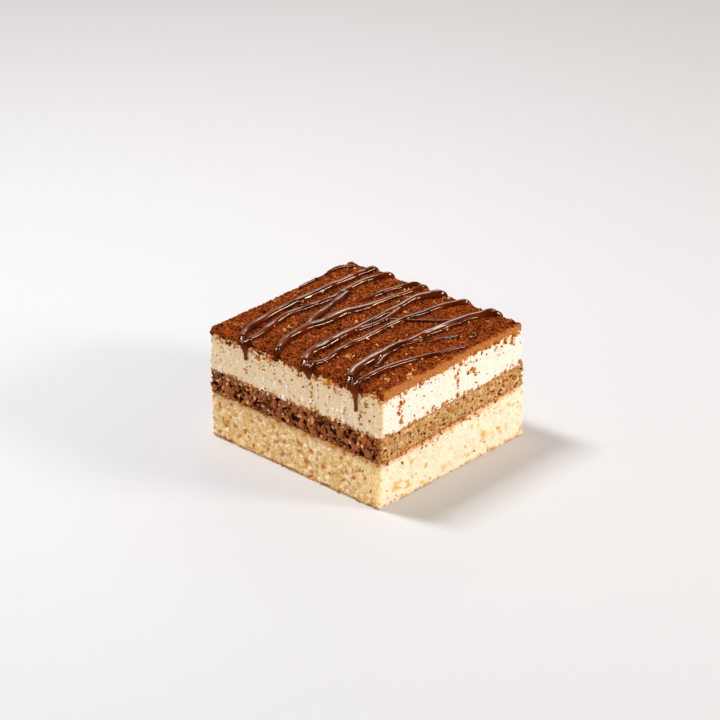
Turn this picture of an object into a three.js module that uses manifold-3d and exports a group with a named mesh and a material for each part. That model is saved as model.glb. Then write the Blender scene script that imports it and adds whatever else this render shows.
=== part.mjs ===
// A square-cut portion of tiramisu milk cake: a pale sponge, a coffee-soaked sponge and a whipped cream
// layer, all showing on the four cut sides, under a bed of cocoa with chocolate sauce drizzled over it.
// Millimetres, +Z up. The origin is the middle of the base, and -Y is the side that the long drips run down.
import * as THREE from "three";
import { ImprovedNoise } from "three/addons/math/ImprovedNoise.js";
import { mergeVertices } from "three/addons/utils/BufferGeometryUtils.js";
import Module from "manifold-3d";

const wasm = await Module();
wasm.setup();

// The corners always come in this order: left front, right front, right back, left back.
// The knife leaned a little, so the foot and the top of the cut sides have corners of their own.
const FOOT_X = [-44.0, 43.6, 43.8, -43.4];
const FOOT_Y = [-38.9, -42.2, 41.0, 40.4];
const TOP_X = [-42.7, 43.6, 42.4, -43.3];
const TOP_Y = [-39.8, -39.6, 39.6, 39.9];

// Heights of the layers' boundaries at the corners. No layer was spread quite level.
const TABLE = [0, 0, 0, 0];
const SPONGE_TOP = [19.4, 17.8, 20.5, 20.2];
const COFFEE_TOP = [29.3, 27.9, 29.5, 29.8];
const CREAM_TOP = [44.0, 43.2, 44.8, 45.0];
const COCOA_TOP = [45.5, 46.3, 46.3, 46.6];
const FULL_HEIGHT = 46.3;

// The cut sides: how finely they are divided, and how deep the crumb's holes and crags go.
const COLUMN_STEP = 2.4;
const CORNER_ROUND = 1.2;
const SPONGE_PITS = { rows: 8, depth: 1.1, size: 2.9, upright: 1 };
const COFFEE_CRAGS = { rows: 6, depth: 1.9, size: 3.3, upright: 1 };
const CREAM_STREAKS = { rows: 4, depth: 0.8, size: 5.5, upright: 3 };

// The bed of cocoa slopes off along its edge, furthest on the right, and lies this close to the cream.
const EDGE_DROP = 1;
const EDGE_SLOPE = 1.1;
const RIGHT_SLOPE = 2.6;
const COCOA_GAP = 0.05;

// Chocolate sauce. A strand is a bead, RISE times as high as it is wide, that runs from front to back.
const RISE = 0.45;
const SINK = 0.7;
const STRAND_STEP = 4;
const STRAND_END = 0.45;
const FOLD_RADIUS = 2;
const CLEARANCE = 0.35;
const BEAD_ANGLES = [0, 45, 90, 135, 180, 270].map(THREE.MathUtils.degToRad);

// Each strand has its place across the cake (x) and its width at even steps along its run from front to back.
const STRANDS = [
  {
    from: -41,
    to: 40,
    x: [-26, -32.4, -33.8, -34, -34, -33.6, -33.3, -33, -31],
    width: [3.4, 2.9, 3, 3.1, 2.8],
  },
  { from: -4, to: 12, x: [-29.5, -32.3, -32.6, -32.5, -31.8], width: [1.6, 1.3, 1.2, 1.2, 1] },
  {
    from: -40,
    to: 40,
    x: [-25, -27, -28, -29.3, -26.5, -25.4, -26.9, -26.6, -25],
    width: [2.8, 2.4, 2.1, 2.4, 3],
  },
  { from: -18, to: 18, x: [-15.2, -18.2, -20.4, -22.6, -24.6], width: [2, 2.6, 2.5, 2.3, 2] },
  { from: 13, to: 40, x: [-16, -14.6, -13.8, -12.3, -7.5], width: [1, 2, 2.3, 2.1, 2.8] },
  {
    from: -40,
    to: 40,
    x: [-10, -13.6, -14.2, -12.8, -12.6, -9.8, -8.8, -7.4, -5],
    width: [3.8, 3.5, 4.4, 2.1, 1.8],
  },
  { from: -40, to: 40, x: [6, 1.9, 1.8, 1, 0.4, -0.8, -1, -1.5, 2], width: [5, 4.3, 2.2, 2.6, 4.2] },
  { from: -8, to: 21, x: [1, 2, 2.6, 1.6, -0.2], width: [2, 1.8, 1.7, 1.7, 1.8] },
  { from: -40, to: 40, x: [9.8, 8, 7.9, 7.9, 7.7, 7.8, 9.2, 11.2, 16.5], width: [3, 2.2, 2.2, 2.2, 2.8] },
  { from: 6, to: 23.5, x: [3.2, 7.5, 13.4, 18.5, 22.4], width: [1.8, 1.7, 1.6, 1.4, 1.6] },
  {
    from: -41,
    to: 40,
    x: [28.5, 22.4, 21, 20.7, 21.9, 22.5, 23.6, 25.2, 29.5],
    width: [4.6, 3.8, 2.6, 3, 2.8],
  },
  { from: 4, to: 40, x: [23.2, 24, 25.2, 27, 32], width: [2.6, 2.8, 2.3, 2.2, 2.8] },
  { from: -26, to: 4, x: [27.6, 24.6, 23, 23.2, 24.6], width: [1.5, 1.4, 1.4, 1.4, 1.8] },
  { from: -41, to: 10, x: [31, 30.8, 31.3, 33.5, 37.2, 40.2], width: [3.4, 2.8, 2.2, 1.2] },
  { from: 3, to: 16, x: [28.1, 29.2, 30.2, 31, 31.8], width: [1, 1.3, 1.3, 1.3, 1] },
  { from: 24, to: 37, x: [-43.6, -43, -42.4, -41.6, -40.4], width: [1.6, 2, 2.1, 1.9, 1.4] },
];

// Where sauce gathered at an edge it ran down the side: from this wide at the edge to a narrower tip.
const FRONT_DRIPS = [
  { x: -25, run: 7.6, width: 5.2, tip: 1.8 },
  { x: -9.6, run: 2.2, width: 3.8, tip: 2.8 },
  { x: 7.8, run: 5, width: 6.4, tip: 1.5 },
  { x: 29.6, run: 11.5, width: 6, tip: 1.9 },
];
const BACK_DRIPS = [
  { x: -28, run: 6.5, width: 6, tip: 2 },
  { x: -6, run: 3.5, width: 4.6, tip: 2.4 },
  { x: 4, run: 9, width: 4.8, tip: 1.8 },
  { x: 17.5, run: 4, width: 3.6, tip: 1.8 },
  { x: 31.5, run: 7, width: 5, tip: 2 },
];
const DRIP_START = 3;
const DRIP_STEPS = 9;
const DRIP_THICKNESS = 1.4;

const noise = new ImprovedNoise();
const { clamp, lerp, smoothstep } = THREE.MathUtils;

// A value given at the four corners, read at (u, v): u runs from left to right and v from front to back.
function between([leftFront, rightFront, rightBack, leftBack], u, v) {
  return lerp(lerp(leftFront, rightFront, u), lerp(leftBack, rightBack, u), v);
}

// A point of the cake, from its place (u, v) in the square and its height.
function place(u, v, z) {
  const t = z / FULL_HEIGHT;
  const x = lerp(between(FOOT_X, u, v), between(TOP_X, u, v), t);
  const y = lerp(between(FOOT_Y, u, v), between(TOP_Y, u, v), t);
  return new THREE.Vector3(x, y, z);
}

// The cut outline as points of the unit square, counter-clockwise, at even distances.
function cutOutline() {
  const side = TOP_X[1] - TOP_X[0];
  const round = CORNER_ROUND / side;
  const square = new THREE.Shape();
  square.absarc(1 - round, round, round, -Math.PI / 2, 0);
  square.absarc(1 - round, 1 - round, round, 0, Math.PI / 2);
  square.absarc(round, 1 - round, round, Math.PI / 2, Math.PI);
  square.absarc(round, round, round, Math.PI, 1.5 * Math.PI);
  square.closePath();
  const count = Math.round((4 * side) / COLUMN_STEP);
  return square.getSpacedPoints(count).slice(0, count);
}

const OUTLINE = cutOutline();
const OUTLINE_CAP = THREE.ShapeUtils.triangulateShape(OUTLINE, []);

// A closed surface over a stack of rings of equal count, each counter-clockwise seen from the last one.
// The cap is the list of triangles, as places in a ring, that closes the first and the last ring.
function skin(rings, cap) {
  const count = rings[0].length;
  const last = (rings.length - 1) * count;
  const index = [];
  for (let r = 0; r < rings.length - 1; r++) {
    for (let i = 0; i < count; i++) {
      const a = r * count + i;
      const b = r * count + ((i + 1) % count);
      index.push(a, b, b + count, a, b + count, a + count);
    }
  }
  for (const [a, b, c] of cap) {
    index.push(a, c, b, last + a, last + b, last + c);
  }
  const geometry = new THREE.BufferGeometry().setFromPoints(rings.flat());
  geometry.setIndex(index);
  return geometry;
}

// Straight into the cake from the side that (u, v) lies on.
function inwards(u, v) {
  const fromSide = Math.abs(u - 0.5) > Math.abs(v - 0.5);
  return new THREE.Vector3(fromSide ? Math.sign(0.5 - u) : 0, fromSide ? 0 : Math.sign(0.5 - v), 0);
}

// One layer from its floor to its ceiling. Its rim rings are clean, so that it meets the next layer
// exactly, and the rows between them are eaten away by noise of the given size.
function layerGeometry(floor, ceiling, { rows, depth, size, upright }) {
  const rings = Array.from({ length: rows + 1 }, (_, row) =>
    OUTLINE.map(({ x: u, y: v }) => {
      const z = lerp(between(floor, u, v), between(ceiling, u, v), row / rows);
      const point = place(u, v, z);
      if (row === 0 || row === rows) return point;
      const bite = noise.noise(point.x / size, point.y / size, z / size / upright);
      return point.addScaledVector(inwards(u, v), depth * Math.max(0, bite));
    }),
  );
  return skin(rings, OUTLINE_CAP);
}

// The bed of cocoa: upright at its foot and sloped off along its upper edge.
function cocoaGeometry() {
  const floor = OUTLINE.map(({ x: u, y: v }) => place(u, v, between(CREAM_TOP, u, v) + COCOA_GAP));
  const shoulder = OUTLINE.map(({ x: u, y: v }) => place(u, v, between(COCOA_TOP, u, v) - EDGE_DROP));
  const bed = OUTLINE.map(({ x, y }) => {
    const u = lerp(x, 0.5, (x > 0.5 ? RIGHT_SLOPE : EDGE_SLOPE) / TOP_X[1]);
    const v = lerp(y, 0.5, EDGE_SLOPE / TOP_Y[2]);
    return place(u, v, between(COCOA_TOP, u, v));
  });
  return skin([floor, shoulder, bed], OUTLINE_CAP);
}

// The sauce lies as a sheet would that is folded over the front and the back edge. Given x and the
// distance s along that sheet, from the middle towards the back, this is the point and the way it faces.
function onSheet(x, s) {
  const side = s < 0 ? -1 : 1;
  const u = clamp((x - TOP_X[0]) / (TOP_X[1] - TOP_X[0]), 0, 1);
  const edge = side * between(TOP_Y, u, side > 0 ? 1 : 0) + CLEARANCE;
  const flat = edge - FOLD_RADIUS;
  const reach = Math.min(Math.abs(s), flat);
  const v = (side * reach - TOP_Y[0]) / (TOP_Y[2] - TOP_Y[0]);
  const turn = clamp((Math.abs(s) - flat) / FOLD_RADIUS, 0, Math.PI / 2);
  const down = Math.max(0, Math.abs(s) - flat - (FOLD_RADIUS * Math.PI) / 2);
  const y = side * (reach + FOLD_RADIUS * Math.sin(turn));
  const z = between(COCOA_TOP, u, v) - FOLD_RADIUS * (1 - Math.cos(turn)) - down;
  return {
    point: new THREE.Vector3(x, y, z),
    facing: new THREE.Vector3(0, side * Math.sin(turn), Math.cos(turn)),
  };
}

// A bead of sauce through stations { x, s, width, rise }: a dome on the sheet, let a little way into it.
function beadGeometry(stations) {
  const middles = stations.map(({ x, s }) => onSheet(x, s));
  const rings = stations.map(({ width, rise }, k) => {
    const { point, facing } = middles[k];
    const before = middles[Math.max(0, k - 1)].point;
    const after = middles[Math.min(stations.length - 1, k + 1)].point;
    const along = after.clone().sub(before).normalize();
    const across = facing.clone().cross(along).normalize();
    return BEAD_ANGLES.map((angle) => {
      const up = Math.sin(angle) * (Math.sin(angle) > 0 ? rise : SINK);
      const sideways = (Math.cos(angle) * width) / 2;
      return point.clone().addScaledVector(across, sideways).addScaledVector(facing, up);
    });
  });
  const fan = Array.from({ length: BEAD_ANGLES.length - 2 }, (_, i) => [0, i + 1, i + 2]);
  return skin(rings, fan);
}

// A smooth curve through values at even steps, read at t from 0 to 1.
function steady(values) {
  const curve = new THREE.SplineCurve(values.map((value, i) => new THREE.Vector2(i, value)));
  return (t) => curve.getPoint(t).y;
}

// A strand narrows at both of its ends.
function strandGeometry({ from, to, x, width }) {
  const count = Math.ceil((to - from) / STRAND_STEP);
  const xAt = steady(x);
  const widthAt = steady(width);
  const stations = Array.from({ length: count + 1 }, (_, i) => {
    const wide = widthAt(i / count) * (i === 0 || i === count ? STRAND_END : 1);
    return { x: xAt(i / count), s: lerp(from, to, i / count), width: wide, rise: RISE * wide };
  });
  return beadGeometry(stations);
}

// A drip starts on the top, a little way in from the edge, and narrows on its way down the side.
function dripGeometry({ x, run, width, tip }, side) {
  const edge = Math.abs(TOP_Y[side > 0 ? 2 : 0]);
  const end = edge + run + FOLD_RADIUS * (Math.PI / 2 - 2);
  const stations = Array.from({ length: DRIP_STEPS + 1 }, (_, i) => {
    const t = i / DRIP_STEPS;
    const ending = i === 0 || i === DRIP_STEPS ? STRAND_END : 1;
    const wide = ending * lerp(width, tip, smoothstep(t, 0.3, 0.75));
    return { x, s: side * lerp(edge - DRIP_START, end, t), width: wide, rise: ending * DRIP_THICKNESS };
  });
  return beadGeometry(side > 0 ? stations : stations.reverse());
}

// A geometry as a solid that can be joined and cut, and back.
function solid(geometry) {
  const merged = mergeVertices(geometry);
  const vertProperties = merged.attributes.position.array;
  const triVerts = new Uint32Array(merged.index.array);
  return new wasm.Manifold(new wasm.Mesh({ numProp: 3, vertProperties, triVerts }));
}

function geometryOf(manifold) {
  const { vertProperties, triVerts } = manifold.getMesh();
  const geometry = new THREE.BufferGeometry();
  geometry.setAttribute("position", new THREE.BufferAttribute(vertProperties, 3));
  geometry.setIndex(new THREE.BufferAttribute(triVerts, 1));
  return geometry;
}

// The cream, grown sideways by the clearance: what the drips have to stay out of.
function creamKeepOut() {
  const grown = (heights, lift) =>
    OUTLINE.map(({ x: u, y: v }) => {
      return place(u, v, between(heights, u, v) + lift).addScaledVector(inwards(u, v), -CLEARANCE);
    });
  return solid(skin([grown(COFFEE_TOP, 0), grown(CREAM_TOP, COCOA_GAP)], OUTLINE_CAP));
}

function cocoaWithDrizzle() {
  const beads = [
    ...STRANDS.map(strandGeometry),
    ...FRONT_DRIPS.map((drip) => dripGeometry(drip, -1)),
    ...BACK_DRIPS.map((drip) => dripGeometry(drip, 1)),
  ];
  const drizzle = beads.map(solid).reduce((all, bead) => all.add(bead));
  return geometryOf(solid(cocoaGeometry()).add(drizzle.subtract(creamKeepOut())));
}

function food(name, geometry, color, roughness) {
  geometry.computeVertexNormals();
  const mesh = new THREE.Mesh(geometry, new THREE.MeshStandardMaterial({ color, roughness, metalness: 0 }));
  mesh.name = name;
  return mesh;
}

const cake = new THREE.Group();
cake.add(
  food("bottom_sponge", layerGeometry(TABLE, SPONGE_TOP, SPONGE_PITS), 0xf0d8a8, 0.95),
  food("coffee_sponge", layerGeometry(SPONGE_TOP, COFFEE_TOP, COFFEE_CRAGS), 0x8a5a30, 0.95),
  food("cream_layer", layerGeometry(COFFEE_TOP, CREAM_TOP, CREAM_STREAKS), 0xf6e9d2, 0.6),
  food("cocoa_top", cocoaWithDrizzle(), 0x6b3312, 0.8),
);

export default cake;
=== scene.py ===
"""Looks of a square-cut portion of tiramisu milk cake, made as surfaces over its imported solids.

Lengths in the tables and formulas are millimetres, and a mesh is written in metres. +Z is up, and -Y is
the cut side that the long drips run down.
"""

import math

import bpy
import numpy as np
from bpy.props import FloatProperty, FloatVectorProperty, IntProperty, PointerProperty
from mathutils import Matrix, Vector


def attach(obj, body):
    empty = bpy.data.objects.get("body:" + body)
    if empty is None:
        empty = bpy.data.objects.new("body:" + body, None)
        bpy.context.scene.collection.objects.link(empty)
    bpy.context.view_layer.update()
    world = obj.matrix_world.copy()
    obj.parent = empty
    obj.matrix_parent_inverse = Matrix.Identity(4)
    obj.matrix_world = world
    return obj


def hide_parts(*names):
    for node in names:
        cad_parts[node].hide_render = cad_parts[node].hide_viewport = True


bl_info = {
    "name": "Tiramisu Milk Cake",
    "version": (1, 0, 0),
    "blender": (4, 5, 0),
    "location": "View3D > Sidebar > Cake",
    "description": "Crumb, cream, cocoa and chocolate sauce of a portion of tiramisu milk cake",
    "category": "Add Mesh",
}

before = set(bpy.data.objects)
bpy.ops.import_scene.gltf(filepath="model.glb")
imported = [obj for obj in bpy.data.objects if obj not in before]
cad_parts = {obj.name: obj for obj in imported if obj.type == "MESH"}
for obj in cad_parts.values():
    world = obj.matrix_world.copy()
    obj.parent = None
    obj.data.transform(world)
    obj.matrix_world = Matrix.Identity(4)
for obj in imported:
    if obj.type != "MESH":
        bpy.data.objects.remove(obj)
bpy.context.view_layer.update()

# A millimetre in metres, and a value that keeps a division away from 0.
MM = 0.001
TINY = 1e-6

# The cake's corners at its foot and its top, how high its layers reach there, and the height over which the
# corners lean. Corners always come in this order: left front, right front, right back, left back.
FOOT_X = (-44.0, 43.6, 43.8, -43.4)
FOOT_Y = (-38.9, -42.2, 41.0, 40.4)
TOP_X = (-42.7, 43.6, 42.4, -43.3)
TOP_Y = (-39.8, -39.6, 39.6, 39.9)
SPONGE_TOP = (18.6, 17.8, 21.3, 20.4)
COFFEE_TOP = (28.3, 27.9, 29.5, 29.8)
CREAM_TOP = (44.0, 43.2, 44.8, 45.0)
COCOA_TOP = (45.5, 46.3, 46.3, 46.6)
FULL_HEIGHT = 46.3

# The outline of the cut, as an even box with rounded corners, how finely the sides are divided, how far the
# rings that close a layer lie inside it, and how deep its crumbled corners are.
WIDTH = 86.0
DEPTH = 79.4
CORNER_ROUND = 1.2
FRONT_RUN = WIDTH - 2 * CORNER_ROUND
SIDE_RUN = DEPTH - 2 * CORNER_ROUND
TURN_RUN = CORNER_ROUND * math.pi / 2
ROUND_TRIP = 2 * (FRONT_RUN + SIDE_RUN) + 4 * TURN_RUN
COLUMNS = 1200
SPONGE_ROWS = 68
COFFEE_ROWS = 42
CREAM_ROWS = 54
CAP_INSET = 4.0
CHIP = 0.8

# How ragged the boundaries of the layers are, how much more so one is on the torn sides, and the noise that
# makes them ragged: its strength and size.
SPONGE_RAGGED = 0.4
COFFEE_RAGGED = 0.6
TORN_RAGGED = 0.8
CREAM_RAGGED = 0.3
RAGGED_NOISE = ((0.5, 3.1), (0.6, 1.4), (0.3, 0.7))

# Sizes in the relief: crumb and the grain on it, crags and the lumps on them, curds, dents and the streaks
# that are stretched upright, and the grains, waves and ripples of cocoa.
CRUMB = 1.9
CRUMB_GRAIN = 0.8
CRAG = 3.0
CRAG_LUMP = 1.4
CURD = 1.1
DENT = 1.6
STREAK = 2.2
STREAK_STRETCH = (1, 1, 0.35)
COCOA_GRAIN = 0.95
COCOA_WAVE = 1.7
COCOA_RIPPLE = 0.8

# Heights and depths in the relief, beside those that a look holds, and how far the layers lie inside the cut.
SPONGE_INSET = 0.2
FOOT_INSET = 0.4
CRAG_HEIGHT = 0.8
CRAG_LUMP_HEIGHT = 0.5
CUT_LUMP_HEIGHT = 0.1
CREAM_INSET = 0.1
WHITE_LUMP_HEIGHT = 0.55
DENT_DEPTH = 0.25
WIDE_PIT_DEPTH = 0.5
SMALL_PIT_DEPTH = 0.3

# Waves in the relief and in the bounds of its bands: the strength and size of their noise.
SPONGE_WAVES = (0.2, 5.5)
FOOT_WAVES = (0.6, 1.3)
STAIN_WAVES = (0.9, 1.9)
CUT_WAVES = (0.1, 2.4)
DUST_WAVES = (1.6, 2.8)

# Bands along the edges of the layers: how far from the edge they begin to fade and how far off they end. The
# coffee's bands are ragged by noise of a strength and size.
FOOT_BAND = (0.2, 1.7)
STAIN_BAND = (0.2, 3.0)
COFFEE_BAND = (0.3, 1.0)
COFFEE_BAND_RAGGED = 0.7
COFFEE_BAND_NOISE = 1.9
LUMP_BAND = (1.0, 10.0)
DUST_BAND = (0.2, 6.0)

# Crooked spots in the relief: their size, the share of places that have one, and their radius in sizes.
TOASTED_HOLE = (3.4, 0.55, 0.42)
LARGE_HOLE = (3.1, 0.55, 0.45)
SMALL_HOLE = (1.7, 0.42, 0.5)
LARGE_PORE = (1.8, 0.4, 0.4)
SMALL_PORE = (1.0, 0.3, 0.45)
TAN_SPOT = (2.1, 0.34, 0.46)
WIDE_PIT = (3.6, 0.16, 0.4)
SMALL_PIT = (1.1, 0.5, 0.5)

# Ragged blotches in the relief: their size, and the strengths of noise at which they begin and are full.
OPEN_PORE = (2.7, 0.4, 0.75)
FLECK = (2.5, 0.2, 0.5)
BROWNED_BIT = (2.0, -0.1, 0.4)
WHITE_LUMP = (2.0, 0.3, 0.6)
DRY_PATCH = (3.4, 0.1, 0.8)

# How far the painted glow reaches from the right front corner, where light shines through.
GLOW_REACH = 6.0

# The bed of cocoa: how far it slopes off along its edges, how far it hangs over, its ragged rim and how
# finely it is divided. It has wide waves and small heaps, each with a strength and size, and a large heap at
# its left back edge: its place, half size each way and height.
EDGE_DROP = 1.0
EDGE_SLOPE = 1.1
RIGHT_SLOPE = 2.6
OVERHANG = 0.2
RIM_HANG = 0.63
RIM_RAGGED = 0.81
RIM_NOISE = (2.4, 1.0)
RIM_TUCK = 1.0
BED_X = (-WIDTH / 2 + EDGE_SLOPE, WIDTH / 2 - RIGHT_SLOPE)
BED_Y = (-DEPTH / 2 + EDGE_SLOPE, DEPTH / 2 - EDGE_SLOPE)
BED_STEP = 0.31
SLOPE_STEPS = 8
RIM_STEPS = 6
TUCK_STEPS = (2.5, 3.0)
WIDE_WAVES = (0.35, 9.0)
SMALL_HEAPS = (0.25, 4.5)
HEAP_PLACE = (-43.0, 31.0)
HEAP_HALF = (3.0, 8.0)
HEAP_HEIGHT = 1.3

# Along the front the rim hangs lower at some places and draws up over a bulge of cream at one: the place,
# half width and how much lower it is. That fades out over a reach behind the front.
FRONT_HANGS = (
    (-33, 1.9, 2.2), (-17.5, 1.6, 0.9), (-10.5, 2.2, 1.1), (2.8, 1.8, 1.2), (23, 2, 0.9), (27.6, 1, 1.4),
    (33.4, 1, 1.5), (38.4, 3, -1.7),
)
HANG_REACH = 3.0

# Chocolate sauce: the sheet that it lies on, and how its strands rise, arch, taper, wobble and are joined. A
# wobble has its strength and size. A strand has its start and stop from front to back, and its places across
# and its widths at even steps between them.
FOLD_RADIUS = 2.0
CLEARANCE = 0.35
SINK = 0.7
SPREAD = 1.12
RISE = 0.5
MOST_RISE = 2.0
ARCH = 0.6
ARCH_START = 34.0
END_TAPER = 1.2
FRONT_TAPER = 2.5
STATION_STEP = 0.4
BEAD_SIDES = 24
STRAND_FLATNESS = 2.8
DRIP_FLATNESS = 2
WIDTH_WOBBLE = (0.1, 6.0)
PATH_WOBBLE = (0.12, 6.5)
WOBBLE_GAP = 9.7
SETTLE_SHARE = 0.5
SETTLE_ROUNDS = 4
STRANDS = (
    (-45, 42.4, (-23.4, -29.6, -32.2, -33.2, -33.6, -33.6, -33.3, -33, -31), (2, 2.9, 3, 3.1, 2.8)),
    (-4, 12, (-29.5, -32.3, -32.6, -32.5, -31.8), (1.6, 1.3, 1.2, 1.2, 1)),
    (-44.5, 42.4, (-23.6, -23.6, -26.4, -27.8, -26.5, -25.4, -26.9, -26.6, -22.5), (1.8, 2.4, 2.4, 2.4, 2.8)),
    (-18, 18, (-15.2, -18.2, -20.4, -22.6, -24.6), (2, 2.6, 2.5, 2.3, 2)),
    (13, 42.4, (-16, -14.6, -13.8, -12.3, -7.5), (1, 2, 2.3, 2.1, 2.8)),
    (-39.6, 42.4, (-9.2, -13.2, -14.2, -12.8, -12.6, -9.8, -8.8, -7.4, -5), (2.4, 3.5, 4.4, 2.1, 1.8)),
    (-45, 42.4, (8.4, 2.3, 1.2, 0.4, -0.2, -0.9, -1, -1.2, 4.6), (2.6, 4.2, 2.2, 2.6, 4)),
    (-8, 21, (1, 2, 2.6, 1.6, -0.2), (2, 1.8, 1.7, 1.7, 1.8)),
    (-44.5, 42.4, (8.4, 9.8, 8, 7.9, 7.7, 7.8, 9.2, 11.2, 16.5), (1.8, 2.2, 2.2, 2.2, 2.8)),
    (6, 23.5, (3.2, 7.5, 13.4, 18.5, 22.4), (1.8, 1.7, 1.6, 1.4, 1.6)),
    (-45.5, 42.4, (31.2, 24.2, 22.2, 21.2, 21.9, 22.5, 23.6, 25.2, 29.5), (2.4, 3.8, 2.6, 3, 2.8)),
    (4, 42.4, (23.2, 24, 25.2, 27, 32), (2.6, 2.8, 2.3, 2.2, 2.6)),
    (-26, 4, (27.6, 24.6, 23, 23.2, 24.6), (1.5, 1.4, 1.4, 1.4, 1.8)),
    (-45, 10, (31, 31, 31.3, 33.5, 37.2, 40.2), (1.7, 2.3, 1.9, 1)),
    (3, 16, (28.1, 29.2, 30.2, 31, 31.8), (1, 1.3, 1.3, 1.3, 1)),
    (16.4, 21.4, (37.4, 36.4, 35), (1.6, 2.4, 1.8)),
    (24, 38, (-42.6, -42, -41.4, -40.6, -39.4), (1, 1.3, 1.5, 1.4, 1.1)),
    (8, 19.5, (-42.2, -42.4, -42.6, -42.7, -42.9), (0.8, 1, 1.1, 1, 0.9)),
)

# Where sauce gathered at an edge it ran down the side: x, run, width at the edge, width of the neck and width
# of the drop at its end. The drop swells over a part of the run. Between the two heights of the fade the
# colour of the sauce turns into that of a drip.
FRONT_DRIPS = ((-24.6, 8.4, 4.6, 0.7, 1.7), (7.2, 6, 5.2, 0.5, 0.5), (30.4, 11.6, 4.8, 0.9, 1.3))
BACK_DRIPS = (
    (-28, 6.5, 6, 1.2, 1.8), (-6, 3.5, 4.6, 1.6, 2.2), (3, 9, 4.8, 1.1, 1.7), (17, 4, 3.6, 1.2, 1.7),
    (31, 7, 5, 1.2, 1.8),
)
DRIP_START = 0.6
DRIP_THICKNESS = 1.1
DRIP_LEAN = 0.9
DROP_SWELL = (0.75, 0.9)
DRIP_FADE = (41.0, 45.0)

# Painted shade on the cocoa beside the sauce, which stands also for cocoa that drew it in: how far, how much
# farther on the right, and the strength and size of the noise along the bounds. Some hollows get painted
# shade
# too: their place and half size each way.
DAMP_REACH = 1.5
DAMP_SHIFT = 0.35
DAMP_NOISE = (0.7, 1.3)
DAMP_HOLLOWS = (
    (33.6, 24.8, 2.2, 1), (36.6, 24, 1.4, 0.8), (37, 17, 1.6, 0.8), (39, -38, 3, 1), (-40, -38, 2, 1.2),
)

# Heaps of pale clumps on the bed: place, spread and count.
CLUMP_HEAPS = (
    (37.1, -31.9, 1.2, 9), (40.2, -23.1, 1, 8), (39.2, -18.1, 0.9, 5), (-37.8, -31.7, 1.3, 5),
    (-21, -20.9, 1.2, 5), (10.9, -29.9, 1, 4), (14.7, -24.9, 1.2, 5), (-40.4, 5.1, 1.2, 5),
    (-20.7, 36.5, 1, 4), (6.5, 38.3, 0.9, 5),
)

# Cocoa that fell on the cream. A trail has its place along the side, top, foot, spread sideways and count,
# and larger bits the wider it is spread. A large speck has its place along the side, height and size. The
# other specks come in groups: their count, mean depth below the cocoa, and whether only torn sides have them.
FRONT_TRAILS = (
    (-23.8, 38, 31, 0.4, 12), (8.8, 38.5, 29.5, 0.5, 18), (17.5, 43.5, 40.5, 3.2, 30), (38, 43.6, 42, 4, 12),
    (-19, 41.5, 40, 2, 8), (-30, 43.5, 41, 3, 12), (-38, 43, 38, 3, 10), (32.8, 37, 30, 0.8, 10),
    (36.6, 38.8, 38, 2, 6), (-12, 42.6, 40.5, 3, 14), (2, 42.6, 40, 2.5, 14),
)
FRONT_DOTS = (
    (32.4, 38.5, 0.8), (35.5, 39.3, 1), (38.3, 40.2, 1.4), (41.5, 41.6, 1.5), (-17.4, 41, 1.5),
    (-13.6, 42, 1.6), (-14.9, 37, 1), (-24.7, 33.8, 0.9), (-0.7, 41.4, 1.4), (3.7, 40.8, 1), (17.6, 40, 1.3),
    (20.1, 40.4, 1.4), (25.9, 43.2, 1.7), (7.8, 38.2, 1.1), (-37.7, 33.6, 0.9), (-32.3, 33.2, 0.9),
    (-24, 38.6, 1.5),
)
RIGHT_DOTS = (
    (-30.2, 37.6, 2.2), (-31, 35.4, 1.6), (-27.6, 41.8, 1.8), (0.7, 38, 1.9), (1.9, 30.2, 1.8),
    (7.9, 37, 1.9), (-6.5, 42.4, 1.9), (34.6, 43.2, 2.2), (25.3, 43.2, 1.9), (-19.5, 42.8, 1.6),
    (12.7, 40.2, 1.4), (11.9, 34.8, 1.4), (30, 43.6, 1.8), (21, 43.8, 1.6), (38, 31, 2.4), (39, 29.4, 1.8),
)
RIGHT_TRAILS = (
    (-29.5, 45, 31, 1.6, 34), (2, 40.5, 31, 0.8, 20), (11, 38.5, 35.5, 2.2, 18), (34, 44.5, 40, 1.4, 18),
    (25, 44, 36, 0.8, 10), (-18.4, 45, 42.6, 0.8, 10), (-5.5, 44.6, 42.5, 2, 16), (3.5, 45, 42.5, 1.4, 12),
    (12.5, 45.2, 42.5, 1.2, 12), (24.5, 45.2, 41.5, 2, 22), (30, 45, 41, 1.2, 16), (20, 45.2, 42.8, 1.6, 14),
    (36.5, 45.2, 42, 1.2, 14), (34.6, 44, 38.5, 0.6, 12),
)
TRAIL_SIZES = (0.45, 1.2)
TRAIL_GROWTH = 0.3
WIDEST_GROWTH = 1.6
DOT_STRETCH = (0.8, 1.1)
SPECK_GROUPS = ((1000, 1, False), (330, 4.5, False), (110, 9, False), (360, 6, True))

# Loose bits: the seed of their places, and their smallest and largest width. Most of them are small, by a
# power of an even draw, and each is stretched and uneven. They sink into the side or lap over a boundary.
BITS = {
    "cocoa_grains": (5, 0.3, 0.9),
    "cocoa_clumps": (15, 0.5, 1.8),
    "cocoa_specks": (8, 0.4, 1.15),
    "coffee_crumbs": (11, 0.3, 1.5),
    "cream_lumps": (21, 0.4, 1.3),
    "tan_crumbs": (31, 0.35, 1.5),
    "toasted_crumbs": (41, 0.35, 1.4),
}
SMALLNESS = 2.2
STRETCH = (0.5, 1.35)
UNEVEN = 0.4
CRUMB_SINK = 0.1
CRUMB_LAP = 0.4
LUMP_SINK = 0.2
LUMP_LAP = 0.3
SPECK_LAP = 0.2
HIGHEST_SPECK = 0.3

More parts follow.
